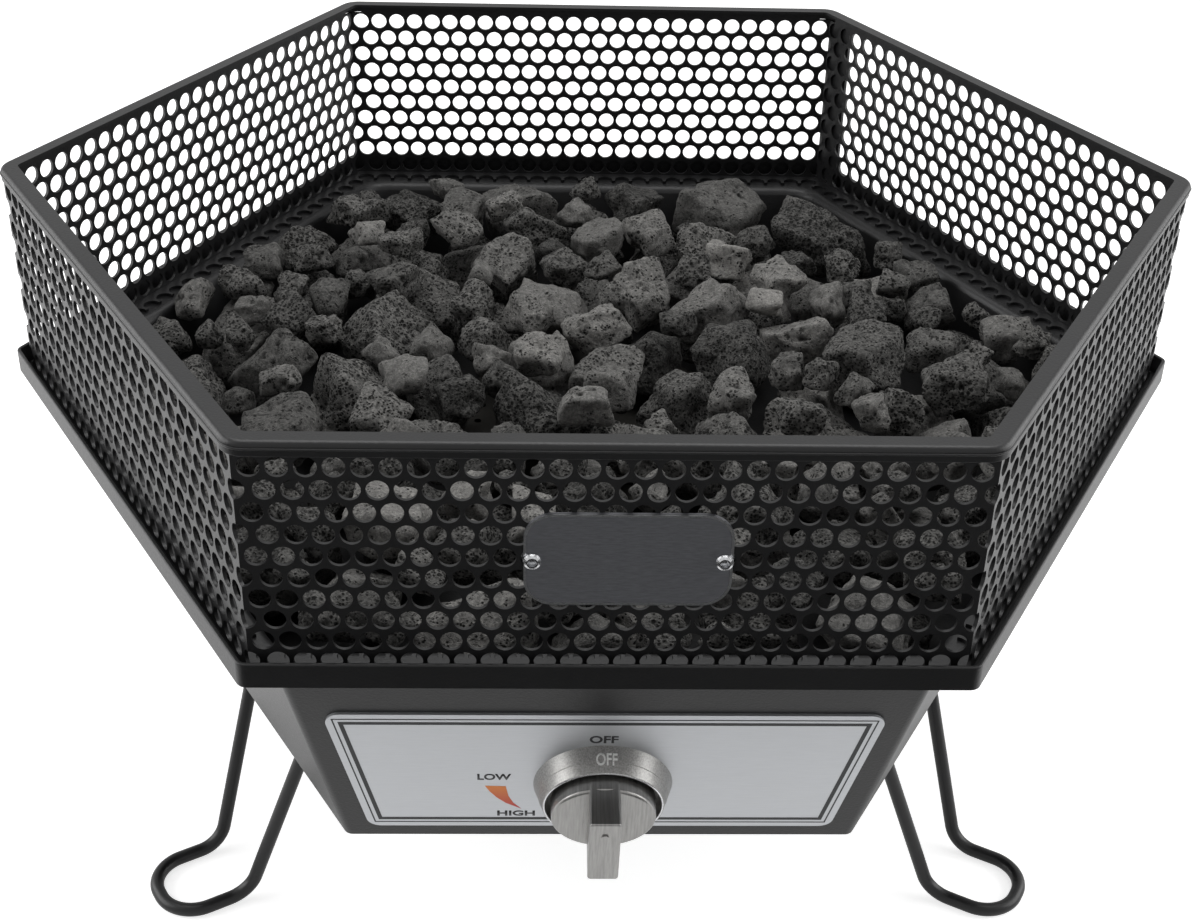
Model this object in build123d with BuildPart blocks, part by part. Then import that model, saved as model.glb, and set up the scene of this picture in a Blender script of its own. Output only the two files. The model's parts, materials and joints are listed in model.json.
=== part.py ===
from build123d import *
from itertools import combinations
from math import atan2, ceil, cos, floor, radians, sin, tan
import os

import numpy as np
from scipy.spatial import ConvexHull

# Table-top gas fire pit: a six-sided tray on a tapered body, with folding wire legs,
# a lift-off perforated guard, a bed of lava rocks and one gas control on the front wall.
# Millimetres, +Z up, the ground at zero, two corners on the X axis and the control at -Y.

os.makedirs("parts", exist_ok=True)

# Tray and rock pan, one pressed sheet
lip_corner_radius = 230.0
lip_height = 9.0
tray_sheet = 1.5
tray_rounding = 4.0
lip_edge_rounding = 0.6
ledge_height = 190.5
pan_opening_radius = 210.0
pan_floor_radius = 197.0
pan_depth = 36.0
pan_rounding = 14.0
pan_edge_rounding = 4.5

# Tapered body
body_top_radius = 214.0
body_bottom_radius = 181.0
body_height = 101.5
body_sheet = 1.5
body_rounding = 3.5
floor_opening_radius = 115.0

# Service plate under the floor
service_plate_radius = 126.0
service_plate_sheet = 1.2
vent_length = 60.0
vent_width = 6.0
vent_pitch = 16.0
vent_count = 6
base_screw_radius = 2.0
base_screw_length = 6.0
base_head_radius = 4.0
base_head_height = 2.0

# Guard
guard_rise = 78.0
rim_corner_radius = 226.0
rim_width = 6.5
rim_height = 5.0
rim_sheet = 1.2
rim_rounding = 9.0
rim_bend_rounding = 1.8
rim_edge_rounding = 0.4
mesh_corner_radius = 224.5
mesh_sheet = 1.2
hole_diameter = 7.0
hole_pitch = 8.25
row_pitch = 7.9
first_row_drop = 9.0
hole_margin = 0.6
flange_depth = 9.0
flange_row = 7.9
seam_width = 15.0

# Plain plate on the guard's front panel
badge_width = 63.0
badge_height = 33.0
badge_sheet = 1.2
badge_rounding = 9.0
badge_row = 4
badge_screw_span = 7
badge_screw_radius = 1.5
badge_head_radius = 2.9
badge_head_height = 1.8
badge_nut_radius = 4.6
badge_nut_height = 2.4
badge_screw_tail = 1.0

# Control plate, bezel and knob, measured down and out from the front wall
plate_top_drop = 28.9
plate_top_width = 187.0
plate_bottom_width = 164.0
plate_height = 69.0
plate_sheet = 1.0
plate_rounding = 5.0
knob_drop = 70.5
bezel_radius = 24.0
bezel_front_radius = 20.8
bezel_mouth_radius = 19.9
bezel_height = 9.0
bezel_floor = 1.5
bezel_edge_rounding = 0.4
neck_radius = 7.0
bezel_screw_spacing = 26.0
bezel_screw_radius = 1.5
bezel_screw_length = 7.0
bezel_head_radius = 2.8
bezel_head_height = 1.0
dial_radius = 18.0
dial_thickness = 8.0
dial_stand_off = 4.5
dial_rounding = 1.2
bar_width = 10.6
bar_length = 35.4
bar_height = 13.0
bar_rounding = 1.2
bar_edge_rounding = 0.6
dot_radius = 1.2
dot_height = 0.5
dot_inset = 7.4

# Gas valve behind the front wall
stem_radius = 3.0
stem_flat_inset = 0.8
stem_in_knob = 12.0
stem_in_plug = 6.0
knob_travel = 3.0
valve_radius = 10.0
valve_length = 31.0
valve_wall = 3.0
valve_flange_radius = 18.0
valve_flange_height = 3.0
plug_radius = 7.0
plug_front_gap = 3.5
set_screw_radius = 1.5
port_radius = 6.0
port_reach = 14.0
port_depth = 20.0

# Gas line and burner
tube_radius = 4.0
tube_bend = 15.0
supply_side = 40.0
supply_lead = 20.0
jet_lead = 10.0
jet_reach = 14.0
jet_radius = 4.0
jet_bend = 20.0
mixer_radius = 8.0
mixer_wall = 1.2
mixer_bend = 12.0
mixer_mouth_overlap = 5.0
burner_radius = 62.0
burner_height = 12.0
burner_wall = 2.0
burner_rounding = 3.0
hub_radius = 11.0
hub_drop = 8.0
hub_socket = 6.0
port_hole_radius = 1.5
outer_port_circle = 48.0
outer_port_count = 24
inner_port_circle = 30.0
inner_port_count = 12
lock_ring_radius = 18.0
lock_ring_height = 3.0

# Gas inlet through the back wall
inlet_radius = 7.94
inlet_length = 14.0
inlet_bore = 4.0
inlet_hex_radius = 11.0
inlet_hex_height = 6.0
inlet_shank_radius = 6.0
inlet_shank_length = 18.0
inlet_nut_radius = 9.8
inlet_nut_height = 5.0

# Wire legs and their brackets
wire_radius = 2.75
pivot_reach = 143.0
pivot_drop = 5.0
pivot_span = 55.0
pivot_tail = 13.5
foot_reach = 170.2
foot_tip = 202.4
foot_span = 31.7
leg_shoulder_bend = 6.0
leg_foot_bend = 12.0
leg_tip_bend = 14.5
bracket_sheet = 1.5
bracket_width = 16.0
bracket_span = 40.0
bracket_skirt = 7.0
bracket_rounding = 5.0
rivet_radius = 2.0
rivet_head_radius = 3.6
rivet_head_height = 1.2
rivet_spacing = 14.0

# Lava rocks: least and greatest length of a stone in each of the three lots
large_stone_least = 30.0
large_stone_most = 48.0
middling_stone_least = 22.0
middling_stone_most = 44.0
small_stone_least = 14.0
small_stone_most = 26.0
large_stone_count = 110
middling_stone_count = 110
small_stone_count = 260
stone_gap = 0.3
shortest_stone_edge = 1.5
bed_height = 57.0
bed_fall = 8.0
pile_step = 1.5

# Clearances, and the overrun of every cut
fit_gap = 0.2
pivot_gap = 0.08
seat_gap = 0.1
overrun = 5.0

# Shares of a stone's own length, least and greatest: its half axes, and how deep its faces
# are broken off. How far a stone's flat side tips out of level, as a slope
stone_length_shares = (0.95, 1.25)
stone_width_shares = (0.8, 1.0)
stone_thickness_shares = (0.66, 0.92)
stone_face_shares = (0.78, 1.0)
stone_tip_share = 0.35
stone_faces = (10, 15)
# Share of the bed, the lowest first, in which a stone looks for its place
low_bed_share = 0.4
# Slopes under which a face stands upright and three faces share no corner, and a corner's slack
least_slope_share = 0.000001
least_corner_share = 0.001
corner_slack_share = 1.000001

# Directions, in degrees, and the six-sided layout
sides = 6
half_side = radians(30)
front = 270
back = 90


def apothem(corner_radius):
    return corner_radius * cos(half_side)


def corner_of(flat_distance):
    return flat_distance / cos(half_side)


def around(azimuth, reach, along, height):
    turn = radians(azimuth)
    return (
        reach * cos(turn) - along * sin(turn),
        reach * sin(turn) + along * cos(turn),
        height,
    )


def flat_reach(place):
    # How far out a place is, measured square to the side that it is nearest to
    return max(place.X * cos(half_side * k) + place.Y * sin(half_side * k) for k in (1, 3, 5, 7, 9, 11))


def rounded_hexagon(corner_radius, rounding):
    RegularPolygon(corner_radius, sides)
    fillet(vertices(), rounding)


# Heights and slopes that follow from the sizes
ledge_top = ledge_height + tray_sheet
lip_top = ledge_height + lip_height
rim_top = lip_top + guard_rise
rim_under = rim_top - rim_height
mesh_top = rim_top - rim_sheet
body_bottom = ledge_height - body_height
floor_top = body_bottom + body_sheet
pan_floor_top = ledge_top - pan_depth
pan_floor_under = pan_floor_top - tray_sheet
pan_flare = (pan_opening_radius - pan_floor_radius) / pan_depth
body_flare = (body_top_radius - body_bottom_radius) / body_height
lean = atan2(apothem(body_top_radius) - apothem(body_bottom_radius), body_height)
guard_foot = ledge_top + seat_gap


def pan_radius(height):
    return pan_floor_radius + (height - pan_floor_top) * pan_flare


def body_radius(height):
    return body_bottom_radius + (height - body_bottom) * body_flare


def inner_body_radius(height):
    return body_radius(height) - corner_of(body_sheet / cos(lean))


def wall_plane(azimuth, drop):
    # On the outside of a body wall: z out of the wall, y up the slope, x along it
    reach = apothem(body_top_radius) - drop * sin(lean)
    turn = radians(azimuth)
    return Plane(
        origin=around(azimuth, reach, 0, ledge_height - drop * cos(lean)),
        x_dir=(-sin(turn), cos(turn), 0),
        z_dir=(cos(turn) * cos(lean), sin(turn) * cos(lean), -sin(lean)),
    )


def mesh_plane(azimuth):
    # On the outside of a guard panel: z outwards, y up, at ground height
    turn = radians(azimuth)
    return Plane(
        origin=around(azimuth, apothem(mesh_corner_radius), 0, 0),
        x_dir=(-sin(turn), cos(turn), 0),
        z_dir=(cos(turn), sin(turn), 0),
    )


def point_on(plane, across, up, out):
    return plane.from_local_coords(Vector(across, up, out))


# Places that several pieces share
knob_plane = wall_plane(front, knob_drop)
plate_plane = wall_plane(front, plate_top_drop)
bezel_screw_places = [(-bezel_screw_spacing / 2, 0), (bezel_screw_spacing / 2, 0)]
bezel_foot = plate_sheet
bezel_bottom = bezel_foot + bezel_floor
dial_back = bezel_bottom + dial_stand_off
dial_front = dial_back + dial_thickness
bar_front = dial_front + bar_height
valve_front = -body_sheet
valve_end = valve_front - valve_length
plug_front = valve_front - valve_flange_height - plug_front_gap
plug_end = valve_end + valve_wall + seat_gap
stem_front = dial_back + stem_in_knob
stem_end = plug_front - stem_in_plug

leg_azimuths = {"leg_front_left": 210, "leg_front_right": 330, "leg_back": 90}
bracket_names = {
    "leg_bracket_front_left": 210,
    "leg_bracket_front_right": 330,
    "leg_bracket_back": 90,
}
pivot_height = body_bottom - pivot_drop
rivet_places = [
    around(azimuth, pivot_reach, along, 0)[:2]
    for azimuth in leg_azimuths.values()
    for along in (-rivet_spacing / 2, rivet_spacing / 2)
]
base_screw_reach = (apothem(floor_opening_radius) + apothem(service_plate_radius)) / 2
base_screw_places = [around(30 + 60 * k, base_screw_reach, 0, 0)[:2] for k in range(sides)]

# The supply tube leaves the valve's side port and rises no higher than it, so the inlet's
# place on the back wall follows from the port's height
supply_port = point_on(knob_plane, -port_reach, 0, -port_depth)
inlet_rise = (inlet_shank_length + supply_lead) * sin(lean)
inlet_drop = (ledge_height - supply_port.Z + inlet_rise) / cos(lean)
inlet_plane = wall_plane(back, inlet_drop)

# Fire bowl: lip, ledge and rock pan
with BuildPart() as fire_bowl:
    with BuildSketch(Plane.XY.offset(ledge_height)):
        rounded_hexagon(lip_corner_radius, tray_rounding)
    extrude(amount=lip_height)
    with BuildSketch(Plane.XY.offset(ledge_top)):
        rounded_hexagon(lip_corner_radius - corner_of(tray_sheet), tray_rounding - tray_sheet)
    extrude(amount=lip_height, mode=Mode.SUBTRACT)
    with BuildSketch(Plane.XY.offset(ledge_height)):
        rounded_hexagon(pan_radius(ledge_height) + corner_of(tray_sheet), pan_rounding + tray_sheet)
    with BuildSketch(Plane.XY.offset(pan_floor_under)):
        rounded_hexagon(pan_radius(pan_floor_under) + corner_of(tray_sheet), pan_rounding + tray_sheet)
    loft(ruled=True)
    with BuildSketch(Plane.XY.offset(ledge_top + overrun)):
        rounded_hexagon(pan_radius(ledge_top + overrun), pan_rounding)
    with BuildSketch(Plane.XY.offset(pan_floor_top)):
        rounded_hexagon(pan_radius(pan_floor_top), pan_rounding)
    loft(ruled=True, mode=Mode.SUBTRACT)
    with BuildSketch(Plane.XY.offset(pan_floor_top)):
        Circle(hub_radius + fit_gap)
    extrude(amount=-(tray_sheet + overrun), mode=Mode.SUBTRACT)
    ledge_edges = fire_bowl.edges().filter_by_position(Axis.Z, ledge_top - fit_gap, ledge_top + fit_gap)
    ledge_middle = (apothem(pan_opening_radius) + apothem(lip_corner_radius)) / 2
    fillet(ledge_edges.filter_by(lambda edge: flat_reach(edge.center()) < ledge_middle), pan_edge_rounding)
    lip_edges = fire_bowl.edges().filter_by_position(Axis.Z, lip_top - fit_gap, lip_top + fit_gap)
    fillet(lip_edges, lip_edge_rounding)
fire_bowl.part.label = "fire_bowl"
export_step(fire_bowl.part, "parts/fire_bowl.step")

# Body: six leaning walls and a floor, open at the top
with BuildPart() as body_shell:
    with BuildSketch(Plane.XY.offset(body_bottom)):
        rounded_hexagon(body_bottom_radius, body_rounding)
    with BuildSketch(Plane.XY.offset(ledge_height)):
        rounded_hexagon(body_top_radius, body_rounding)
    loft(ruled=True)
    with BuildSketch(Plane.XY.offset(floor_top)):
        rounded_hexagon(inner_body_radius(floor_top), body_rounding - body_sheet)
    with BuildSketch(Plane.XY.offset(ledge_height + overrun)):
        rounded_hexagon(inner_body_radius(ledge_height + overrun), body_rounding - body_sheet)
    loft(ruled=True, mode=Mode.SUBTRACT)
    with BuildSketch(Plane.XY.offset(body_bottom - overrun)):
        rounded_hexagon(floor_opening_radius, body_rounding)
        with Locations(*base_screw_places):
            Circle(base_screw_radius + fit_gap)
        with Locations(*rivet_places):
            Circle(rivet_radius + fit_gap)
    extrude(amount=body_sheet + 2 * overrun, mode=Mode.SUBTRACT)
    with BuildSketch(knob_plane.offset(overrun)):
        Circle(neck_radius)
        with Locations(*bezel_screw_places):
            Circle(bezel_screw_radius + fit_gap)
    extrude(amount=-(body_sheet + 2 * overrun), mode=Mode.SUBTRACT)
    with BuildSketch(inlet_plane.offset(overrun)):
        with Locations((supply_side, 0)):
            Circle(inlet_shank_radius + fit_gap)
    extrude(amount=-(body_sheet + 2 * overrun), mode=Mode.SUBTRACT)
body_shell.part.label = "body_shell"
export_step(body_shell.part, "parts/body_shell.step")

# Service plate with its vents, screwed on under the floor
with BuildPart() as base_plate:
    with BuildSketch(Plane.XY.offset(body_bottom - service_plate_sheet)):
        rounded_hexagon(service_plate_radius, body_rounding)
        with Locations(*base_screw_places):
            Circle(base_screw_radius + fit_gap, mode=Mode.SUBTRACT)
        with GridLocations(vent_pitch, vent_pitch, 1, vent_count):
            SlotOverall(vent_length, vent_width, mode=Mode.SUBTRACT)
    extrude(amount=service_plate_sheet)
base_plate.part.label = "base_plate"
export_step(base_plate.part, "parts/base_plate.step")

with BuildPart() as base_screws:
    with BuildSketch(Plane.XY.offset(body_bottom - service_plate_sheet)):
        with Locations(*base_screw_places):
            Circle(base_head_radius)
    extrude(amount=-base_head_height)
    with BuildSketch(Plane.XY.offset(body_bottom - service_plate_sheet)):
        with Locations(*base_screw_places):
            Circle(base_screw_radius)
    extrude(amount=base_screw_length)
base_screws.part.label = "base_screws"
export_step(base_screws.part, "parts/base_screws.step")

# Burner: a hollow round head with a hub that passes through the pan's floor
with BuildPart() as burner_head:
    with BuildSketch(Plane.XY.offset(pan_floor_top)):
        Circle(burner_radius)
    extrude(amount=burner_height)
    fillet(burner_head.edges().group_by(Axis.Z)[-1], burner_rounding)
    with BuildSketch(Plane.XY.offset(pan_floor_top)):
        Circle(hub_radius)
    extrude(amount=-hub_drop)
    with BuildSketch(Plane.XY.offset(pan_floor_top + burner_wall)):
        Circle(burner_radius - burner_rounding)
    extrude(amount=burner_height - 2 * burner_wall, mode=Mode.SUBTRACT)
    with BuildSketch(Plane.XY.offset(pan_floor_top - hub_drop)):
        Circle(mixer_radius - mixer_wall)
    extrude(amount=hub_drop + burner_wall, mode=Mode.SUBTRACT)
    with BuildSketch(Plane.XY.offset(pan_floor_top - hub_drop)):
        Circle(mixer_radius + pivot_gap)
    extrude(amount=hub_socket, mode=Mode.SUBTRACT)
    with BuildSketch(Plane.XY.offset(pan_floor_top + burner_height)):
        with PolarLocations(outer_port_circle, outer_port_count):
            Circle(port_hole_radius)
        with PolarLocations(inner_port_circle, inner_port_count):
            Circle(port_hole_radius)
    extrude(amount=-2 * burner_wall, mode=Mode.SUBTRACT)
burner_head.part.label = "burner_head"
export_step(burner_head.part, "parts/burner_head.step")

with BuildPart() as burner_lock_ring:
    with BuildSketch(Plane.XY.offset(pan_floor_under)):
        Circle(lock_ring_radius)
        Circle(hub_radius + pivot_gap, mode=Mode.SUBTRACT)
    extrude(amount=-lock_ring_height)
burner_lock_ring.part.label = "burner_lock_ring"
export_step(burner_lock_ring.part, "parts/burner_lock_ring.step")

# Valve body behind the front wall, with a side port for the supply
with BuildPart() as gas_valve_body:
    with BuildSketch(knob_plane.offset(valve_front)):
        Circle(valve_radius)
    extrude(amount=-valve_length)
    with BuildSketch(knob_plane.offset(valve_front)):
        Circle(valve_flange_radius)
        with Locations(*bezel_screw_places):
            Circle(bezel_screw_radius + pivot_gap, mode=Mode.SUBTRACT)
    extrude(amount=-valve_flange_height)
    with BuildSketch(Plane(origin=point_on(knob_plane, 0, 0, -port_depth), z_dir=(-1, 0, 0))):
        Circle(port_radius)
    extrude(amount=port_reach)
    with BuildSketch(knob_plane.offset(plug_front + seat_gap)):
        Circle(plug_radius + pivot_gap)
    extrude(amount=plug_end - plug_front - 2 * seat_gap, mode=Mode.SUBTRACT)
    with BuildSketch(knob_plane.offset(valve_front + overrun)):
        Circle(stem_radius + fit_gap)
    extrude(amount=plug_front - valve_front - overrun, mode=Mode.SUBTRACT)
gas_valve_body.part.label = "gas_valve_body"
export_step(gas_valve_body.part, "parts/gas_valve_body.step")

# Plug that turns in the valve, with a flatted socket in which the stem slides
with BuildPart() as valve_plug:
    with BuildSketch(knob_plane.offset(plug_front)):
        Circle(plug_radius)
    extrude(amount=plug_end - plug_front)
    with BuildSketch(knob_plane.offset(plug_front)):
        Circle(stem_radius + pivot_gap)
        with Locations((0, -stem_radius - pivot_gap)):
            Rectangle(
                2 * (stem_radius + pivot_gap),
                stem_flat_inset,
                align=(Align.CENTER, Align.MIN),
                mode=Mode.SUBTRACT,
            )
    extrude(amount=-(stem_in_plug + knob_travel + fit_gap), mode=Mode.SUBTRACT)
valve_plug.part.label = "valve_plug"
export_step(valve_plug.part, "parts/valve_plug.step")

with BuildPart() as valve_stem:
    with BuildSketch(knob_plane.offset(stem_end)):
        Circle(stem_radius)
        with Locations((0, -stem_radius)):
            Rectangle(
                2 * stem_radius,
                stem_flat_inset,
                align=(Align.CENTER, Align.MIN),
                mode=Mode.SUBTRACT,
            )
    extrude(amount=stem_front - stem_end)
valve_stem.part.label = "valve_stem"
export_step(valve_stem.part, "parts/valve_stem.step")

# Knob: a round dial with a bar handle across it
with BuildPart() as control_knob:
    with BuildSketch(knob_plane.offset(dial_back)):
        Circle(dial_radius)
    extrude(amount=dial_thickness)
    dial_front_edge = control_knob.faces().sort_by(Axis(knob_plane.origin, knob_plane.z_dir))[-1].edges()
    fillet(dial_front_edge, dial_rounding)
    with BuildSketch(knob_plane.offset(dial_back + dial_thickness / 2)):
        RectangleRounded(bar_width, bar_length, bar_rounding)
    extrude(amount=bar_height + dial_thickness / 2)
    bar_front_edges = control_knob.faces().sort_by(Axis(knob_plane.origin, knob_plane.z_dir))[-1].edges()
    fillet(bar_front_edges, bar_edge_rounding)
    with BuildSketch(knob_plane.offset(bar_front)):
        with Locations((0, bar_length / 2 - dot_inset)):
            Circle(dot_radius)
    extrude(amount=dot_height)
    with BuildSketch(knob_plane.offset(dial_back)):
        Circle(stem_radius + pivot_gap)
        with Locations((0, -stem_radius - pivot_gap)):
            Rectangle(
                2 * (stem_radius + pivot_gap),
                stem_flat_inset,
                align=(Align.CENTER, Align.MIN),
                mode=Mode.SUBTRACT,
            )
    extrude(amount=stem_in_knob + pivot_gap, mode=Mode.SUBTRACT)
    set_screw_plane = Plane(
        origin=point_on(knob_plane, 0, 0, dial_back + dial_thickness / 2),
        x_dir=knob_plane.x_dir,
        z_dir=-knob_plane.y_dir,
    )
    with BuildSketch(set_screw_plane):
        Circle(set_screw_radius + pivot_gap)
    extrude(amount=dial_radius + overrun, mode=Mode.SUBTRACT)
control_knob.part.label = "control_knob"
export_step(control_knob.part, "parts/control_knob.step")

with BuildPart() as knob_set_screw:
    with BuildSketch(set_screw_plane.offset(stem_radius - stem_flat_inset + pivot_gap)):
        Circle(set_screw_radius)
    extrude(amount=dial_radius - stem_radius - dial_rounding)
knob_set_screw.part.label = "knob_set_screw"
export_step(knob_set_screw.part, "parts/knob_set_screw.step")

# Control plate on the front wall
plate_to_knob = plate_top_drop - knob_drop
with BuildPart() as control_plate:
    with BuildSketch(plate_plane):
        Polygon(
            (-plate_top_width / 2, 0),
            (-plate_bottom_width / 2, -plate_height),
            (plate_bottom_width / 2, -plate_height),
            (plate_top_width / 2, 0),
            align=None,
        )
        fillet(vertices(), plate_rounding)
        with Locations((0, plate_to_knob)):
            Circle(neck_radius, mode=Mode.SUBTRACT)
            with Locations(*bezel_screw_places):
                Circle(bezel_screw_radius + fit_gap, mode=Mode.SUBTRACT)
    extrude(amount=plate_sheet)
control_plate.part.label = "control_plate"
export_step(control_plate.part, "parts/control_plate.step")

# Bezel: a cone around the knob, with a floor under it
with BuildPart() as knob_bezel:
    with BuildSketch(knob_plane.offset(bezel_foot)):
        Circle(bezel_radius)
    with BuildSketch(knob_plane.offset(bezel_foot + bezel_height)):
        Circle(bezel_front_radius)
    loft(ruled=True)
    with BuildSketch(knob_plane.offset(bezel_bottom)):
        Circle(bezel_mouth_radius)
    extrude(amount=bezel_height, mode=Mode.SUBTRACT)
    with BuildSketch(knob_plane.offset(bezel_foot)):
        Circle(neck_radius)
        with Locations(*bezel_screw_places):
            Circle(bezel_screw_radius + fit_gap)
    extrude(amount=bezel_height, mode=Mode.SUBTRACT)
    bezel_front_face = knob_bezel.faces().sort_by(Axis(knob_plane.origin, knob_plane.z_dir))[-1]
    fillet(bezel_front_face.edges(), bezel_edge_rounding)
knob_bezel.part.label = "knob_bezel"
export_step(knob_bezel.part, "parts/knob_bezel.step")

with BuildPart() as bezel_screws:
    with BuildSketch(knob_plane.offset(bezel_bottom)):
        with Locations(*bezel_screw_places):
            Circle(bezel_head_radius)
    extrude(amount=bezel_head_height)
    with BuildSketch(knob_plane.offset(bezel_bottom)):
        with Locations(*bezel_screw_places):
            Circle(bezel_screw_radius)
    extrude(amount=-bezel_screw_length)
bezel_screws.part.label = "bezel_screws"
export_step(bezel_screws.part, "parts/bezel_screws.step")

# Jet: a short bent tube from the valve's end into the mixer's mouth
jet_start = point_on(knob_plane, 0, 0, valve_end)
jet_turn = point_on(knob_plane, 0, 0, valve_end - jet_lead)
jet_tip = jet_turn + Vector(0, jet_reach, 0)
with BuildPart() as gas_jet:
    with BuildLine() as jet_path:
        FilletPolyline(jet_start, jet_turn, jet_tip, radius=jet_bend)
    with BuildSketch(Plane(origin=jet_start, z_dir=-knob_plane.z_dir)):
        Circle(jet_radius)
    sweep(path=jet_path.wire())
gas_jet.part.label = "gas_jet"
export_step(gas_jet.part, "parts/gas_jet.step")

# Mixer: from the jet to the burner's hub
mixer_start = jet_tip - Vector(0, mixer_mouth_overlap, 0)
mixer_height = jet_tip.Z
with BuildPart() as mixer_tube:
    with BuildLine() as mixer_path:
        FilletPolyline(
            mixer_start,
            (0, 0, mixer_height),
            (0, 0, pan_floor_top - hub_drop + hub_socket),
            radius=mixer_bend,
        )
    with BuildSketch(Plane(origin=mixer_start, z_dir=(0, 1, 0))):
        Circle(mixer_radius)
        Circle(mixer_radius - mixer_wall, mode=Mode.SUBTRACT)
    sweep(path=mixer_path.wire())
mixer_tube.part.label = "mixer_tube"
export_step(mixer_tube.part, "parts/mixer_tube.step")

# Supply tube: from the inlet at the back to the valve's side port
supply_end = point_on(inlet_plane, supply_side, 0, -inlet_shank_length)
supply_bend = point_on(inlet_plane, supply_side, 0, -inlet_shank_length - supply_lead)
with BuildPart() as supply_tube:
    with BuildLine() as supply_path:
        FilletPolyline(
            supply_port,
            (-supply_side, supply_port.Y, supply_port.Z),
            supply_bend,
            supply_end,
            radius=tube_bend,
        )
    with BuildSketch(Plane(origin=supply_port, z_dir=(-1, 0, 0))):
        Circle(tube_radius)
    sweep(path=supply_path.wire())
supply_tube.part.label = "supply_tube"
export_step(supply_tube.part, "parts/supply_tube.step")

# Inlet: a hexagon outside the wall, the male end beyond it and a shank through the wall
with BuildPart() as inlet_fitting:
    with BuildSketch(inlet_plane):
        with Locations((supply_side, 0)):
            RegularPolygon(inlet_hex_radius, sides)
    extrude(amount=inlet_hex_height)
    with BuildSketch(inlet_plane.offset(inlet_hex_height)):
        with Locations((supply_side, 0)):
            Circle(inlet_radius)
    extrude(amount=inlet_length)
    with BuildSketch(inlet_plane):
        with Locations((supply_side, 0)):
            Circle(inlet_shank_radius)
    extrude(amount=-inlet_shank_length)
    with BuildSketch(inlet_plane.offset(inlet_hex_height + inlet_length)):
        with Locations((supply_side, 0)):
            Circle(inlet_bore)
    extrude(amount=-(inlet_hex_height + inlet_length), mode=Mode.SUBTRACT)
inlet_fitting.part.label = "inlet_fitting"
export_step(inlet_fitting.part, "parts/inlet_fitting.step")

with BuildPart() as inlet_nut:
    with BuildSketch(inlet_plane.offset(-body_sheet)):
        with Locations((supply_side, 0)):
            RegularPolygon(inlet_nut_radius, sides)
            Circle(inlet_shank_radius + pivot_gap, mode=Mode.SUBTRACT)
    extrude(amount=-inlet_nut_height)
inlet_nut.part.label = "inlet_nut"
export_step(inlet_nut.part, "parts/inlet_nut.step")

# Leg brackets: a folded channel under the floor, its two ears carrying the leg's ends
ear_bottom = pivot_height - bracket_skirt
for bracket_name, azimuth in bracket_names.items():
    turn = radians(azimuth)
    bracket_plane = Plane(
        origin=around(azimuth, pivot_reach - bracket_width / 2, 0, 0),
        x_dir=(-sin(turn), cos(turn), 0),
        z_dir=(cos(turn), sin(turn), 0),
    )
    ear_plane = Plane(
        origin=around(azimuth, pivot_reach, 0, pivot_height),
        x_dir=(cos(turn), sin(turn), 0),
        z_dir=(-sin(turn), cos(turn), 0),
    )
    with BuildPart() as leg_bracket:
        with BuildSketch(bracket_plane):
            with Locations((0, body_bottom)):
                Rectangle(bracket_span, body_bottom - ear_bottom, align=(Align.CENTER, Align.MAX))
            with Locations((0, body_bottom - bracket_sheet)):
                Rectangle(
                    bracket_span - 2 * bracket_sheet,
                    body_bottom - ear_bottom,
                    align=(Align.CENTER, Align.MAX),
                    mode=Mode.SUBTRACT,
                )
        extrude(amount=bracket_width)
        ear_corners = leg_bracket.edges().filter_by(Axis(ear_plane.origin, ear_plane.z_dir))
        fillet(ear_corners.group_by(Axis.Z)[0], bracket_rounding)
        with BuildSketch(ear_plane):
            Circle(wire_radius + pivot_gap)
        extrude(amount=bracket_span, both=True, mode=Mode.SUBTRACT)
        with BuildSketch(Plane.XY.offset(body_bottom + overrun)):
            with Locations(*rivet_places):
                Circle(rivet_radius + fit_gap)
        extrude(amount=-(bracket_sheet + 2 * overrun), mode=Mode.SUBTRACT)
    leg_bracket.part.label = bracket_name
    export_step(leg_bracket.part, f"parts/{bracket_name}.step")

# Rivets that hold the brackets to the floor, headed on both sides
with BuildPart() as bracket_rivets:
    with BuildSketch(Plane.XY.offset(floor_top)):
        with Locations(*rivet_places):
            Circle(rivet_head_radius)
    extrude(amount=rivet_head_height)
    with BuildSketch(Plane.XY.offset(floor_top)):
        with Locations(*rivet_places):
            Circle(rivet_radius)
    extrude(amount=-(body_sheet + bracket_sheet))
    with BuildSketch(Plane.XY.offset(body_bottom - bracket_sheet)):
        with Locations(*rivet_places):
            Circle(rivet_head_radius)
    extrude(amount=-rivet_head_height)
bracket_rivets.part.label = "bracket_rivets"
export_step(bracket_rivets.part, "parts/bracket_rivets.step")

# Legs: one bent wire each, from ear to ear by way of the foot on the ground
pivot_half = pivot_span / 2
foot_half = foot_span / 2
leg_points = [
    (pivot_reach, pivot_half - pivot_tail, pivot_height),
    (pivot_reach, pivot_half, pivot_height),
    (foot_reach, foot_half, wire_radius),
    (foot_tip, foot_half, wire_radius),
    (foot_tip, -foot_half, wire_radius),
    (foot_reach, -foot_half, wire_radius),
    (pivot_reach, -pivot_half, pivot_height),
    (pivot_reach, -pivot_half + pivot_tail, pivot_height),
]
leg_bends = [
    leg_shoulder_bend,
    leg_foot_bend,
    leg_tip_bend,
    leg_tip_bend,
    leg_foot_bend,
    leg_shoulder_bend,
]
for leg_name, azimuth in leg_azimuths.items():
    turn = radians(azimuth)
    with BuildPart() as leg:
        with BuildLine() as leg_path:
            FilletPolyline(
                *[around(azimuth, reach, along, height) for reach, along, height in leg_points],
                radius=leg_bends,
            )
        with BuildSketch(Plane(origin=around(azimuth, *leg_points[0]), z_dir=(-sin(turn), cos(turn), 0))):
            Circle(wire_radius)
        sweep(path=leg_path.wire())
    leg.part.label = leg_name
    export_step(leg.part, f"parts/{leg_name}.step")

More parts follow.
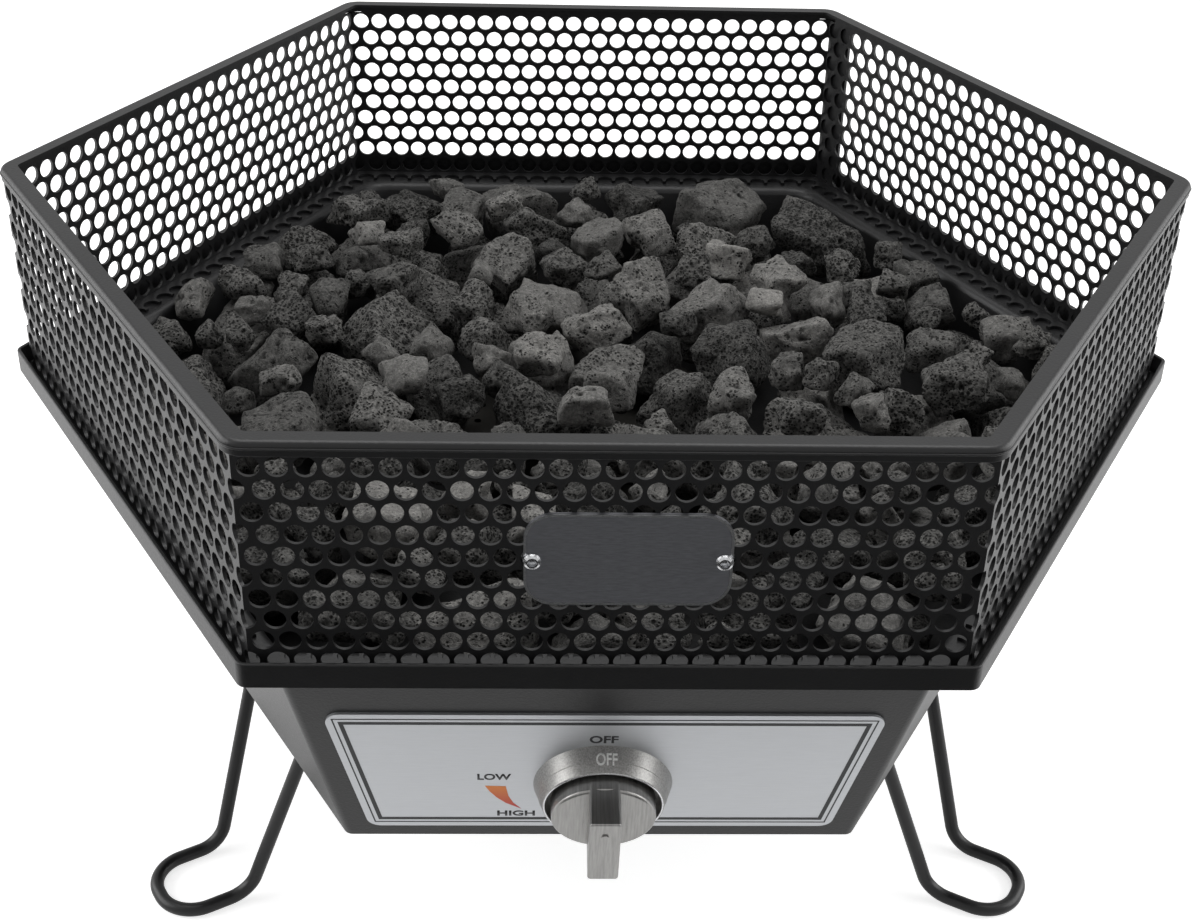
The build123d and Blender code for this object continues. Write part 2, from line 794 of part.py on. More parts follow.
# Guard panels: perforated walls with a turned-in foot, mitred where they meet. Every second row
# has a hole on each corner, one half of it in each of the two panels
hole_radius = hole_diameter / 2
inner_side = mesh_corner_radius - corner_of(mesh_sheet)
wide_count = int(floor((inner_side - hole_diameter - 2 * hole_margin) / hole_pitch)) + 1
row_room = rim_top - first_row_drop - hole_radius - guard_foot - mesh_sheet
row_count = int(floor(row_room / row_pitch)) + 1
wall_holes = [
    ((column - (count - 1) / 2) * hole_pitch, rim_top - first_row_drop - row * row_pitch)
    for row in range(row_count)
    for count in [wide_count - row % 2]
    for column in range(count)
]
foot_count = wide_count - row_count % 2
foot_holes = [((column - (foot_count - 1) / 2) * hole_pitch, flange_row) for column in range(foot_count)]
wall_half = mesh_corner_radius / 2
wall_head = wall_half - rim_rounding * tan(half_side)
wall_right = [(wall_half, guard_foot), (wall_half, rim_under), (wall_head, rim_under), (wall_head, mesh_top)]
wall_left = [(-across, height) for across, height in reversed(wall_right)]
wall_outline = Wire.make_polygon(wall_right + wall_left)
corner_holes = [
    (side * wall_half, rim_top - first_row_drop - row * row_pitch)
    for row in range(1, row_count, 2)
    for side in (1, -1)
]
wall_face = Face(wall_outline, [Wire.make_circle(hole_radius, Plane(place)) for place in wall_holes])
foot_plane = Plane(origin=(apothem(mesh_corner_radius), 0, guard_foot), x_dir=(0, 1, 0), z_dir=(0, 0, 1))
with BuildPart() as panel_form:
    with BuildSketch(mesh_plane(0)):
        add(wall_face)
    extrude(amount=-mesh_sheet)
    with BuildSketch(mesh_plane(0)):
        with Locations(*corner_holes):
            Circle(hole_radius)
    extrude(amount=-mesh_sheet, mode=Mode.SUBTRACT)
    with BuildSketch(foot_plane):
        Rectangle(mesh_corner_radius, flange_depth, align=(Align.CENTER, Align.MIN))
        with Locations(*foot_holes):
            Circle(hole_radius, mode=Mode.SUBTRACT)
    extrude(amount=mesh_sheet)
    for side in (1, -1):
        mitre = side * (half_side + radians(90))
        split(bisect_by=Plane(origin=(0, 0, 0), z_dir=(cos(mitre), sin(mitre), 0)), keep=Keep.BOTTOM)
panel_azimuths = {
    "guard_panel_front": 270,
    "guard_panel_front_right": 330,
    "guard_panel_back_right": 30,
    "guard_panel_back": 90,
    "guard_panel_back_left": 150,
    "guard_panel_front_left": 210,
}
for panel_name, azimuth in panel_azimuths.items():
    with BuildPart() as guard_panel:
        add(panel_form.part, rotation=(0, 0, azimuth))
    guard_panel.part.label = panel_name
    export_step(guard_panel.part, f"parts/{panel_name}.step")

# Bent rim over the top of the six panels: a flat top with a skirt outside the mesh
with BuildPart() as guard_rim:
    with BuildSketch(Plane.XY.offset(rim_under)):
        rounded_hexagon(rim_corner_radius, rim_rounding)
    extrude(amount=rim_height)
    with BuildSketch(Plane.XY.offset(rim_under)):
        rounded_hexagon(rim_corner_radius - corner_of(rim_sheet), rim_rounding - rim_sheet)
    extrude(amount=rim_height - rim_sheet, mode=Mode.SUBTRACT)
    with BuildSketch(Plane.XY.offset(rim_under)):
        rounded_hexagon(rim_corner_radius - corner_of(rim_width), rim_rounding - rim_width)
    extrude(amount=rim_height, mode=Mode.SUBTRACT)
    rim_middle = apothem(rim_corner_radius) - rim_width / 2
    top_edges = guard_rim.edges().group_by(Axis.Z)[-1]
    fillet(top_edges.filter_by(lambda edge: flat_reach(edge.center()) > rim_middle), rim_bend_rounding)
    fillet(guard_rim.edges().group_by(Axis.Z)[0], rim_edge_rounding)
guard_rim.part.label = "guard_rim"
export_step(guard_rim.part, "parts/guard_rim.step")

# Overlap of the guard's two ends, a second layer outside the back-right panel
seam_foot = guard_foot + mesh_sheet
with BuildPart() as guard_seam:
    with BuildSketch(mesh_plane(panel_azimuths["guard_panel_back_right"])):
        with Locations((wall_half, seam_foot)):
            Rectangle(seam_width, rim_under - seam_foot, align=(Align.MAX, Align.MIN))
    extrude(amount=mesh_sheet)
guard_seam.part.label = "guard_seam"
export_step(guard_seam.part, "parts/guard_seam.step")

# Plain plate on the front panel, its two screws through holes of the mesh and their nuts
badge_plane = mesh_plane(panel_azimuths["guard_panel_front"])
badge_height_up = rim_top - first_row_drop - badge_row * row_pitch
badge_across = hole_pitch / 2
badge_screw_places = [
    (badge_across - badge_screw_span * hole_pitch / 2, badge_height_up),
    (badge_across + badge_screw_span * hole_pitch / 2, badge_height_up),
]
with BuildPart() as badge_plate:
    with BuildSketch(badge_plane):
        with Locations((badge_across, badge_height_up)):
            RectangleRounded(badge_width, badge_height, badge_rounding)
        with Locations(*badge_screw_places):
            Circle(badge_screw_radius + pivot_gap, mode=Mode.SUBTRACT)
    extrude(amount=badge_sheet)
badge_plate.part.label = "badge_plate"
export_step(badge_plate.part, "parts/badge_plate.step")

with BuildPart() as badge_screws:
    with BuildSketch(badge_plane.offset(badge_sheet)):
        with Locations(*badge_screw_places):
            Circle(badge_head_radius)
    extrude(amount=badge_head_height)
    with BuildSketch(badge_plane.offset(badge_sheet)):
        with Locations(*badge_screw_places):
            Circle(badge_screw_radius)
    extrude(amount=-(badge_sheet + mesh_sheet + badge_nut_height + badge_screw_tail))
badge_screws.part.label = "badge_screws"
export_step(badge_screws.part, "parts/badge_screws.step")

with BuildPart() as badge_nuts:
    with BuildSketch(badge_plane.offset(-mesh_sheet)):
        with Locations(*badge_screw_places):
            RegularPolygon(badge_nut_radius, sides)
            Circle(badge_screw_radius + pivot_gap, mode=Mode.SUBTRACT)
    extrude(amount=-badge_nut_height)
badge_nuts.part.label = "badge_nuts"
export_step(badge_nuts.part, "parts/badge_nuts.step")


# Lava rocks: a loose pile of broken stones. They are let down into the pan one by one, and each
# stays on the lowest of the places that it tries, resting on the floor, the burner, a wall or
# the stones below.
dice = np.random.default_rng(7)
bed_top = pan_floor_top + bed_height
floor_reach = apothem(pan_floor_radius)
mouth_reach = apothem(pan_opening_radius)
floor_corner = pan_floor_radius - pan_rounding * (1 / cos(half_side) - 1)
wall_slope = (mouth_reach - floor_reach) / pan_depth
wall_top = ledge_top - pan_edge_rounding
burner_top = pan_floor_top + burner_height


def broken_stone(length):
    # Corners of a lump about its own middle, between flat faces at uneven distances
    facing = dice.normal(size=(dice.integers(*stone_faces), 3))
    facing = np.vstack([facing / np.linalg.norm(facing, axis=1)[:, None], np.eye(3), -np.eye(3)])
    shares = (stone_length_shares, stone_width_shares, stone_thickness_shares)
    half_axes = length / 2 * np.array([dice.uniform(*share) for share in shares])
    reach = np.linalg.norm(facing * half_axes, axis=1) * dice.uniform(*stone_face_shares, len(facing))
    trios = np.array(list(combinations(range(len(facing)), 3)))
    trios = trios[np.abs(np.linalg.det(facing[trios])) > least_corner_share]
    meets = np.linalg.solve(facing[trios], reach[trios][..., None])[..., 0]
    corners = []
    for corner in meets[(meets @ facing.T <= reach * corner_slack_share).all(axis=1)]:
        if all(np.linalg.norm(corner - other) > shortest_stone_edge for other in corners):
            corners.append(corner)
    upright = np.array((dice.normal(0, stone_tip_share), dice.normal(0, stone_tip_share), 1))
    upright = upright / np.linalg.norm(upright)
    turn = dice.uniform(0, radians(360))
    side = np.cross(upright, (cos(turn), sin(turn), 0))
    side = side / np.linalg.norm(side)
    return np.array(corners) @ np.vstack([side, np.cross(upright, side), upright])


def hull_of(points):
    # Corners, face directions, face distances and edges of the lump round some points
    corners = points[ConvexHull(points).vertices]
    hull = ConvexHull(corners)
    edges = {tuple(sorted(pair)) for face in hull.simplices.tolist() for pair in combinations(face, 2)}
    return corners, hull.equations[:, :3], -hull.equations[:, 3], np.array(sorted(edges))


def placed_at(hull, place):
    corners, facing, reach, edges = hull
    return corners + place, facing, reach + facing @ place, edges


def under_and_over(hull, across, along):
    # Heights of a lump's underside and top over some spots, and which spots it covers
    corners, facing, reach, edges = hull
    left = reach[:, None] - facing[:, :1] * across - facing[:, 1:2] * along
    tilt = facing[:, 2:]
    level = np.abs(tilt) < least_slope_share
    heights = left / np.where(level, 1, tilt)
    over = np.where(tilt > least_slope_share, heights, np.inf).min(axis=0)
    under = np.where(tilt < -least_slope_share, heights, -np.inf).max(axis=0)
    return under, over, (over >= under) & (~level | (left >= 0)).all(axis=0)


def way_down(hull, other):
    # How far a lump comes straight down before it meets another: corner on face, or edge on edge
    corners, other_corners = hull[0], other[0]
    ways = [np.inf]
    under, over, covered = under_and_over(other, corners[:, 0], corners[:, 1])
    ways.extend((corners[:, 2] - over)[covered])
    under, over, covered = under_and_over(hull, other_corners[:, 0], other_corners[:, 1])
    ways.extend((under - other_corners[:, 2])[covered])
    start, end = corners[hull[3][:, 0], None], corners[hull[3][:, 1], None]
    other_start, other_end = other_corners[None, other[3][:, 0]], other_corners[None, other[3][:, 1]]
    run, other_run, apart = end - start, other_end - other_start, other_start - start
    spread = run[..., 0] * other_run[..., 1] - run[..., 1] * other_run[..., 0]
    spread = np.where(spread == 0, np.nan, spread)
    share = (apart[..., 0] * other_run[..., 1] - apart[..., 1] * other_run[..., 0]) / spread
    other_share = (apart[..., 0] * run[..., 1] - apart[..., 1] * run[..., 0]) / spread
    crossing = (share >= 0) & (share <= 1) & (other_share >= 0) & (other_share <= 1)
    rise = share * run[..., 2] - other_share * other_run[..., 2] - apart[..., 2]
    ways.extend(rise[crossing])
    return min(ways)


def way_to_pan(corners):
    # How far a lump comes straight down to the pan's floor or a wall, and the corner that meets it
    ways = corners[:, 2] - pan_floor_top - stone_gap
    for side in range(sides):
        for azimuth, reach in ((30 + 60 * side, floor_reach), (60 * side, floor_corner)):
            turn = radians(azimuth)
            out = corners[:, 0] * cos(turn) + corners[:, 1] * sin(turn)
            room = reach - stone_gap + (corners[:, 2] - pan_floor_top) * wall_slope - out
            ways = np.minimum(ways, room / wall_slope)
    return ways.min(), ways.argmin()


# The bed's height over a grid of spots: first the empty pan with its burner
half_count = ceil(mouth_reach / cos(half_side) / pile_step)
spots = np.arange(-half_count, half_count + 1) * pile_step
spot_x, spot_y = np.meshgrid(spots, spots)
flat_out = np.max(
    [spot_x * cos(half_side * k) + spot_y * sin(half_side * k) for k in (1, 3, 5, 7, 9, 11)], axis=0
)
bed = pan_floor_top + np.maximum(flat_out - floor_reach, 0) / wall_slope
bed[flat_out > mouth_reach] = np.inf
bed[np.hypot(spot_x, spot_y) < burner_radius] = burner_top
in_bed = flat_out < floor_reach
bed_limit = bed_top - bed_fall * (flat_out / floor_reach) ** 2
burner_sides = 48
burner_cut = burner_rounding * (1 - tan(radians(22.5)))
burner_rings = (
    (burner_radius, pan_floor_top),
    (burner_radius, burner_top - burner_cut),
    (burner_radius - burner_cut, burner_top),
)
burner_corners = [
    around(360 / burner_sides * k, (radius + stone_gap) / cos(radians(180 / burner_sides)), 0, height)
    for k in range(burner_sides)
    for radius, height in burner_rings
]
stone_lengths = np.concatenate(
    [
        dice.uniform(large_stone_least, large_stone_most, large_stone_count),
        dice.uniform(middling_stone_least, middling_stone_most, middling_stone_count),
        dice.uniform(small_stone_least, small_stone_most, small_stone_count),
    ]
)
far_tries = 60
near_tries = 40
near_spots = 4
lumps = [hull_of(np.array(burner_corners))]
for stone_length in stone_lengths:
    hull = hull_of(broken_stone(stone_length))
    reach_count = ceil(np.abs(hull[0][:, :2]).max() / pile_step)
    patch_spots = np.arange(-reach_count, reach_count + 1) * pile_step
    patch_x, patch_y = np.meshgrid(patch_spots, patch_spots)
    under, over, covered = under_and_over(hull, patch_x.ravel(), patch_y.ravel())
    low_places = np.argwhere(in_bed & (bed <= np.quantile(bed[in_bed], low_bed_share)))
    best_rest, best_row, best_column = np.inf, 0, 0
    for trial in range(far_tries + near_tries):
        if trial < far_tries:
            row, column = low_places[dice.integers(len(low_places))]
        else:
            row = best_row + dice.integers(-near_spots, near_spots + 1)
            column = best_column + dice.integers(-near_spots, near_spots + 1)
        row = min(max(row, reach_count), len(spots) - reach_count - 1)
        column = min(max(column, reach_count), len(spots) - reach_count - 1)
        rows = slice(row - reach_count, row + reach_count + 1)
        columns = slice(column - reach_count, column + reach_count + 1)
        rest = (bed[rows, columns].ravel() - under)[covered].max()
        if rest + hull[0][:, 2].max() < bed_limit[row, column] and rest < best_rest:
            best_rest, best_row, best_column = rest, row, column
    if best_rest == np.inf:
        continue
    place = np.array((spots[best_column], spots[best_row], bed_top + bed_height))
    lump = placed_at(hull, place)
    low, high = lump[0].min(axis=0), lump[0].max(axis=0)
    to_pan, first_corner = way_to_pan(lump[0])
    down = to_pan
    for other in lumps:
        other_low, other_high = other[0].min(axis=0), other[0].max(axis=0)
        if (low[:2] < other_high[:2]).all() and (other_low[:2] < high[:2]).all():
            down = min(down, way_down(lump, other) - stone_gap)
    past_wall = down == to_pan and lump[0][first_corner, 2] - down > wall_top
    if past_wall or high[2] - down > bed_limit[best_row, best_column]:
        continue
    lumps.append(placed_at(lump, np.array((0, 0, -down))))
    rows = slice(best_row - reach_count, best_row + reach_count + 1)
    columns = slice(best_column - reach_count, best_column + reach_count + 1)
    top = np.where(covered, place[2] - down + over, -np.inf).reshape(patch_x.shape)
    bed[rows, columns] = np.maximum(bed[rows, columns], top)

stones = [ConvexPolyhedron(corners.tolist()).solid() for corners, facing, reach, edges in lumps[1:]]
print("stones in the bed:", len(stones))

with BuildPart() as lava_rocks:
    add(stones, clean=False)
lava_rocks.part.label = "lava_rocks"
export_step(lava_rocks.part, "parts/lava_rocks.step")
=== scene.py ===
# %% [markdown]
# # A table-top gas fire pit
# The pit is a six-sided steel tray on a tapered body. It has folding wire legs, a lift-off
# guard of perforated sheet, a bed of lava rocks and one gas control on the front wall.
# The exact parts are already made, so this script dresses them: it loads them as a fixed
# frame, gives each one its finish, and adds what only shows close up.

# %% Load the frame
import json
from math import cos, pi, radians, sin, sqrt

import bmesh
import bpy
import numpy as np
from mathutils import Matrix, Vector
from mathutils.bvhtree import BVHTree


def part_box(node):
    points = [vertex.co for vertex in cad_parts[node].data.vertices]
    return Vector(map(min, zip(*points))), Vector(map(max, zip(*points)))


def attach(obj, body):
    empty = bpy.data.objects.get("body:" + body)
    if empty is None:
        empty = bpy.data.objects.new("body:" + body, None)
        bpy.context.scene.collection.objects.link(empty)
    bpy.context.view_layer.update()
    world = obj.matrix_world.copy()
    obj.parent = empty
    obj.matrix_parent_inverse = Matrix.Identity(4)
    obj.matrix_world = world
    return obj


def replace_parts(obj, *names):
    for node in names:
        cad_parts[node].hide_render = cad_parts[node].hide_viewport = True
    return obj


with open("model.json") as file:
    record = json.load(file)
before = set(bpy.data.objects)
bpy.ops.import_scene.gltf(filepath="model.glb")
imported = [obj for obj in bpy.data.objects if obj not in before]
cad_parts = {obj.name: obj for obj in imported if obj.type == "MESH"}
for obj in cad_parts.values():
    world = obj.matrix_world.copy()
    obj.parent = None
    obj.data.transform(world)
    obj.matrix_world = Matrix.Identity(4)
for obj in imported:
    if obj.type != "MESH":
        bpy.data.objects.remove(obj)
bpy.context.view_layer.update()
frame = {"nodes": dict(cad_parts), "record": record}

nodes = frame["nodes"]

# %% [markdown]
# ## Camera
# The picture was taken from in front and above. A camera can be placed by hand until it looks
# right, but here its place, direction and lens were worked out from the corners of the tray
# and the guard, so the two axes below turn straight into its matrix.

# %% Camera
camera_place = Vector((-0.02314, -0.65033, 0.55847))
camera_right = Vector((0.999418, -0.023892, 0.024348)).normalized()
camera_back = Vector((-0.033191, -0.845895, 0.532316)).normalized()
camera_up = camera_back.cross(camera_right).normalized()
camera_data = bpy.data.cameras.new("studio_camera")
camera_data.sensor_width = 36.0
camera_data.lens = 55.71
camera_data.clip_start = 0.01
camera = bpy.data.objects.new("studio_camera", camera_data)
camera.matrix_world = Matrix.Translation(camera_place) @ Matrix(
    (camera_right, camera_up, camera_back)
).transposed().to_4x4()
bpy.context.scene.collection.objects.link(camera)
bpy.context.scene.camera = camera
print("camera lens:", camera_data.lens)

# %% [markdown]
# ## One helper for shader nodes, one for colours
# Every finish below is a small graph of nodes. One function adds a node, sets its values and
# links its inputs. Colours are written as they look on a screen, in hex, and the other
# function turns them into the linear numbers that a renderer works with.

# %% Helpers for finishes
MM = 0.001


def linear(hex_colour):
    shares = [int(hex_colour[k:k + 2], 16) / 255 for k in (1, 3, 5)]
    return tuple(s / 12.92 if s <= 0.04045 else ((s + 0.055) / 1.055) ** 2.4 for s in shares) + (1.0,)


def add_node(tree, kind, values=None, links=None, **settings):
    node = tree.nodes.new(kind)
    for name, value in settings.items():
        setattr(node, name, value)
    for name, value in (values or {}).items():
        node.inputs[name].default_value = value
    for name, source in (links or {}).items():
        tree.links.new(source, node.inputs[name])
    return node


def new_finish(name):
    finish = bpy.data.materials.new(name)
    finish.use_nodes = True
    tree = finish.node_tree
    place = add_node(tree, "ShaderNodeTexCoord").outputs["Object"]
    return finish, tree, tree.nodes["Principled BSDF"], place


def per_metre(size_mm):
    # A noise or cell pattern repeats about once a unit, so this scale gives that size
    return 1 / (size_mm * MM)


print("middle grey on a screen is", round(linear("#808080")[0], 3), "in linear light")

# %% [markdown]
# ## Stage
# A product photograph like this is made on a white paper sweep. The floor is plain and pale. It
# shows as white to the camera and to shiny surfaces, while it still takes the object's shadow.
# More lamps would also turn it white, but they would wash out the black steel, so the paper
# glows a little for straight looks instead. A dark card in front, seen only by reflections,
# keeps the front of the guard as deep as it is in the picture.

# %% Paper sweep
floor_reach = 6.0


def flat_sheet(name, half_wide, near, far, height):
    corners = [(-half_wide, near), (half_wide, near), (half_wide, far), (-half_wide, far)]
    mesh = bpy.data.meshes.new(name)
    mesh.from_pydata([(x, y, height) for x, y in corners], [], [(0, 1, 2, 3)])
    sheet = bpy.data.objects.new(name, mesh)
    bpy.context.scene.collection.objects.link(sheet)
    return sheet


def level_for_rays(tree, scattered, mirrored, direct):
    # A brightness for scattered light, one for reflections, and one for what is seen straight
    ray = add_node(tree, "ShaderNodeLightPath")
    straight = add_node(
        tree, "ShaderNodeMath", operation="MAXIMUM",
        links={0: ray.outputs["Is Camera Ray"], 1: ray.outputs["Is Transmission Ray"]},
    )
    level = add_node(
        tree, "ShaderNodeMapRange", {"To Min": scattered, "To Max": mirrored},
        {"Value": ray.outputs["Is Glossy Ray"]},
    )
    level = add_node(
        tree, "ShaderNodeMapRange", {"To Max": direct},
        {"Value": straight.outputs[0], "To Min": level.outputs[0]},
    )
    return level.outputs[0]


floor = flat_sheet("floor", floor_reach, -floor_reach, floor_reach, 0)
floor_finish = bpy.data.materials.new("white_paper_sweep")
floor_finish.use_nodes = True
tree = floor_finish.node_tree
tree.nodes.remove(tree.nodes["Principled BSDF"])
paper = add_node(tree, "ShaderNodeBsdfDiffuse", {"Color": linear("#e8e8e8")})
glow = add_node(
    tree, "ShaderNodeEmission", {"Color": (1, 1, 1, 1)},
    {"Strength": level_for_rays(tree, scattered=0.0, mirrored=0.42, direct=0.72)},
)
lit_paper = add_node(tree, "ShaderNodeAddShader", links={0: paper.outputs[0], 1: glow.outputs[0]})
tree.links.new(lit_paper.outputs[0], tree.nodes["Material Output"].inputs["Surface"])
floor.data.materials.append(floor_finish)
print("paper reaches", floor_reach, "m each way")

# %% Background and dark card
world = bpy.data.worlds.new("white_studio")
bpy.context.scene.world = world
world.use_nodes = True
tree = world.node_tree
background = tree.nodes["Background"]
background.inputs["Color"].default_value = (1, 1, 1, 1)
world_level = level_for_rays(tree, scattered=0.30, mirrored=0.72, direct=1.0)
tree.links.new(world_level, background.inputs["Strength"])

dark_card = flat_sheet("dark_card", half_wide=1.2, near=-0.95, far=-0.30, height=0.004)
card_finish = bpy.data.materials.new("black_felt_card")
card_finish.use_nodes = True
felt = card_finish.node_tree.nodes["Principled BSDF"]
felt.inputs["Base Color"].default_value = linear("#101010")
felt.inputs["Roughness"].default_value = 1.0
dark_card.data.materials.append(card_finish)
for kind in ("camera", "diffuse", "transmission", "volume_scatter", "shadow"):
    setattr(dark_card, "visible_" + kind, False)
print("stage:", floor.name, dark_card.name, world.name)

# %% [markdown]
# ## Light
# Two big soft boxes stand at the sides and a third hangs above. Small lamps would leave hard
# spots on the rounded edges, and a bright world alone would make the shapes look flat, so the
# boxes are more than a metre wide and carry most of the light.

# %% Soft boxes
for name, stand, aim, wide, tall, watts in (
    ("left_soft_box", (-1.25, 0.05, 0.62), (0, 0, 0.16), 1.3, 1.0, 13),
    ("right_soft_box", (1.25, 0.05, 0.62), (0, 0, 0.16), 1.3, 1.0, 12),
    ("top_soft_box", (0, 0.25, 1.5), (0, 0, 0.18), 1.2, 1.0, 13),
):
    data = bpy.data.lights.new(name, "AREA")
    data.shape = "RECTANGLE"
    data.size = wide
    data.size_y = tall
    data.energy = watts
    lamp = bpy.data.objects.new(name, data)
    lamp.location = stand
    lamp.rotation_euler = (Vector(aim) - Vector(stand)).to_track_quat("-Z", "Y").to_euler()
    bpy.context.scene.collection.objects.link(lamp)
    print(name, watts, "W")
bpy.context.scene.view_settings.view_transform = "Standard"

# %% [markdown]
# ## Powder coat
# The sheet parts and the legs are sprayed with black polyester powder, which is baked until it
# melts into a film. A flat black would look like a hole in the picture, and a photograph of the
# film would stretch on slanted sheets. Two noise patterns do better: one of about a millimetre
# for the fine orange peel, and one of some centimetres that shifts the tone from place to place.

# %% Powder coat and coated wire
tone_patch_mm = 38


def coat(name, tone, pale_tone, rough, peel_mm, peel_depth_mm):
    # The peel also breaks up the highlights, so it drives the roughness and the relief
    finish, tree, shader, place = new_finish(name)
    shader.inputs["IOR"].default_value = 1.5
    shader.inputs["Specular IOR Level"].default_value = 0.4
    peel = add_node(
        tree, "ShaderNodeTexNoise", {"Scale": per_metre(peel_mm), "Detail": 2.0, "Roughness": 0.5},
        {"Vector": place},
    )
    patches = add_node(
        tree, "ShaderNodeTexNoise", {"Scale": per_metre(tone_patch_mm), "Detail": 3.0, "Roughness": 0.6},
        {"Vector": place},
    )
    ramp = add_node(tree, "ShaderNodeValToRGB", links={"Fac": patches.outputs["Fac"]})
    ramp.color_ramp.elements[0].color = linear(tone)
    ramp.color_ramp.elements[1].color = linear(pale_tone)
    ramp.color_ramp.elements[0].position = 0.3
    ramp.color_ramp.elements[1].position = 0.7
    tree.links.new(ramp.outputs["Color"], shader.inputs["Base Color"])
    spread = add_node(
        tree, "ShaderNodeMapRange", {"To Min": rough - 0.05, "To Max": rough + 0.06},
        {"Value": peel.outputs["Fac"]},
    )
    tree.links.new(spread.outputs[0], shader.inputs["Roughness"])
    bump = add_node(
        tree, "ShaderNodeBump", {"Strength": 0.35, "Distance": peel_depth_mm * MM},
        {"Height": peel.outputs["Fac"]},
    )
    tree.links.new(bump.outputs[0], shader.inputs["Normal"])
    return finish


# Sprayed sheet: a satin black with broad, slightly broken highlights
powder_coat = coat(
    "black_powder_coat", "#101011", "#161617", rough=0.38, peel_mm=0.9, peel_depth_mm=0.22
)
# Sprayed wire: the film flows out smoother on a rod and leaves one soft line of light along it
wire_coat = coat("black_coated_wire", "#101011", "#161617", rough=0.36, peel_mm=1.2, peel_depth_mm=0.12)
print("coats:", powder_coat.name, wire_coat.name)

# %% [markdown]
# ## Metals
# The knob, its bezel, the screws and the gas line are bare metal. What tells them apart is the
# grain that casting, drawing or brushing leaves. Each could have its own graph, but the graphs
# would differ only in numbers, so one function makes them all: a noise pattern, stretched along
# the brush strokes, shifts the tone and the roughness and presses in a shallow relief.

# %% Metals of the knob
def metal(
    name, tone, rough, grain_mm, streak=(1, 1, 1), spread=0.10, depth_mm=0.02, contrast=0.18, bare=1.0
):
    # The grain spreads the reflections unevenly. Real grain is finer than a tenth of a millimetre,
    # so it is drawn several times as coarse, to show
    finish, tree, shader, place = new_finish(name)
    shader.inputs["Metallic"].default_value = bare
    scaled = add_node(tree, "ShaderNodeMapping", {"Scale": streak}, {"Vector": place})
    grain = add_node(
        tree, "ShaderNodeTexNoise", {"Scale": per_metre(grain_mm), "Detail": 4.0, "Roughness": 0.65},
        {"Vector": scaled.outputs[0]},
    )
    ramp = add_node(tree, "ShaderNodeValToRGB", links={"Fac": grain.outputs["Fac"]})
    base = linear(tone)
    ramp.color_ramp.elements[0].color = tuple(c * (1 - contrast) for c in base[:3]) + (1.0,)
    ramp.color_ramp.elements[1].color = tuple(min(1.0, c * (1 + contrast)) for c in base[:3]) + (1.0,)
    ramp.color_ramp.elements[0].position = 0.32
    ramp.color_ramp.elements[1].position = 0.68
    tree.links.new(ramp.outputs["Color"], shader.inputs["Base Color"])
    wide = add_node(
        tree, "ShaderNodeMapRange", {"To Min": rough - spread / 2, "To Max": rough + spread / 2},
        {"Value": grain.outputs["Fac"]},
    )
    tree.links.new(wide.outputs[0], shader.inputs["Roughness"])
    bump = add_node(
        tree, "ShaderNodeBump", {"Strength": 0.4, "Distance": depth_mm * MM},
        {"Height": grain.outputs["Fac"]},
    )
    tree.links.new(bump.outputs[0], shader.inputs["Normal"])
    return finish


# Cast and tumbled zinc: grey, with a cloudy shine
knob_metal = metal(
    "satin_zinc_casting", "#9c9b99", rough=0.33, grain_mm=0.6,
    spread=0.16, depth_mm=0.06, contrast=0.3, bare=0.9,
)
# The same zinc, brushed: fine streaks along the handle, which soften what it mirrors
brushed_knob_metal = metal(
    "brushed_zinc_casting", "#989795", rough=0.30, grain_mm=0.7,
    streak=(1, 0.05, 0.05), spread=0.14, bare=0.9,
)
print("metals of the knob:", knob_metal.name, brushed_knob_metal.name)

# %% The other metals
# Zinc plating on screws: cold and bright, with small sharp lights
bright_steel = metal("bright_zinc_plate", "#d2d3d5", rough=0.22, grain_mm=0.7)
# Stainless steel, darkened as painted shade for the deep gaps between the stones: dark and nearly matt
burner_steel = metal("shade_darkened_stainless_steel", "#302f2d", rough=0.55, grain_mm=1.5)
# Turned brass: a warm yellow with a clear shine
gas_brass = metal("machined_brass", "#c39c4a", rough=0.30, grain_mm=0.9)
# Drawn aluminium: pale, with faint lines left by the die
gas_tube = metal("drawn_aluminium_tube", "#bdbec0", rough=0.32, grain_mm=0.9, streak=(1, 0.1, 1))
# Etched plate: dark grey and dull, with a faint grain from side to side
badge_metal = metal(
    "dark_grey_etched_plate", "#5c5d61", rough=0.46, grain_mm=0.6, streak=(0.15, 1, 1), bare=0.35
)
# Fresh cut through that plate: a thin bright line
badge_edge_metal = metal("cut_aluminium_edge", "#c9cacc", rough=0.30, grain_mm=0.6)
# Brushed aluminium sheet under a clear satin lacquer: pale and even, with no sharp reflection
plate_metal = metal(
    "lacquered_aluminium_sheet", "#c8cacd", rough=0.50, grain_mm=0.5,
    streak=(0.06, 1, 1), spread=0.03, depth_mm=0.002, contrast=0.03, bare=0.85,
)
print("other metals:", bright_steel.name, burner_steel.name, gas_brass.name, gas_tube.name)
print("plates:", badge_metal.name, badge_edge_metal.name, plate_metal.name)

# %% [markdown]
# ## Inks
# The plate's marks are screen printed: ink is pushed through a mesh and dries as a thin matt
# film. The tone of such a film is never quite even, which a fine noise pattern gives. The flame
# mark is printed as a blend, so its colour follows the height above the floor.

# %% Inks
ink_grain_mm = 0.6
flame_foot, flame_head = 0.1080, 0.1212


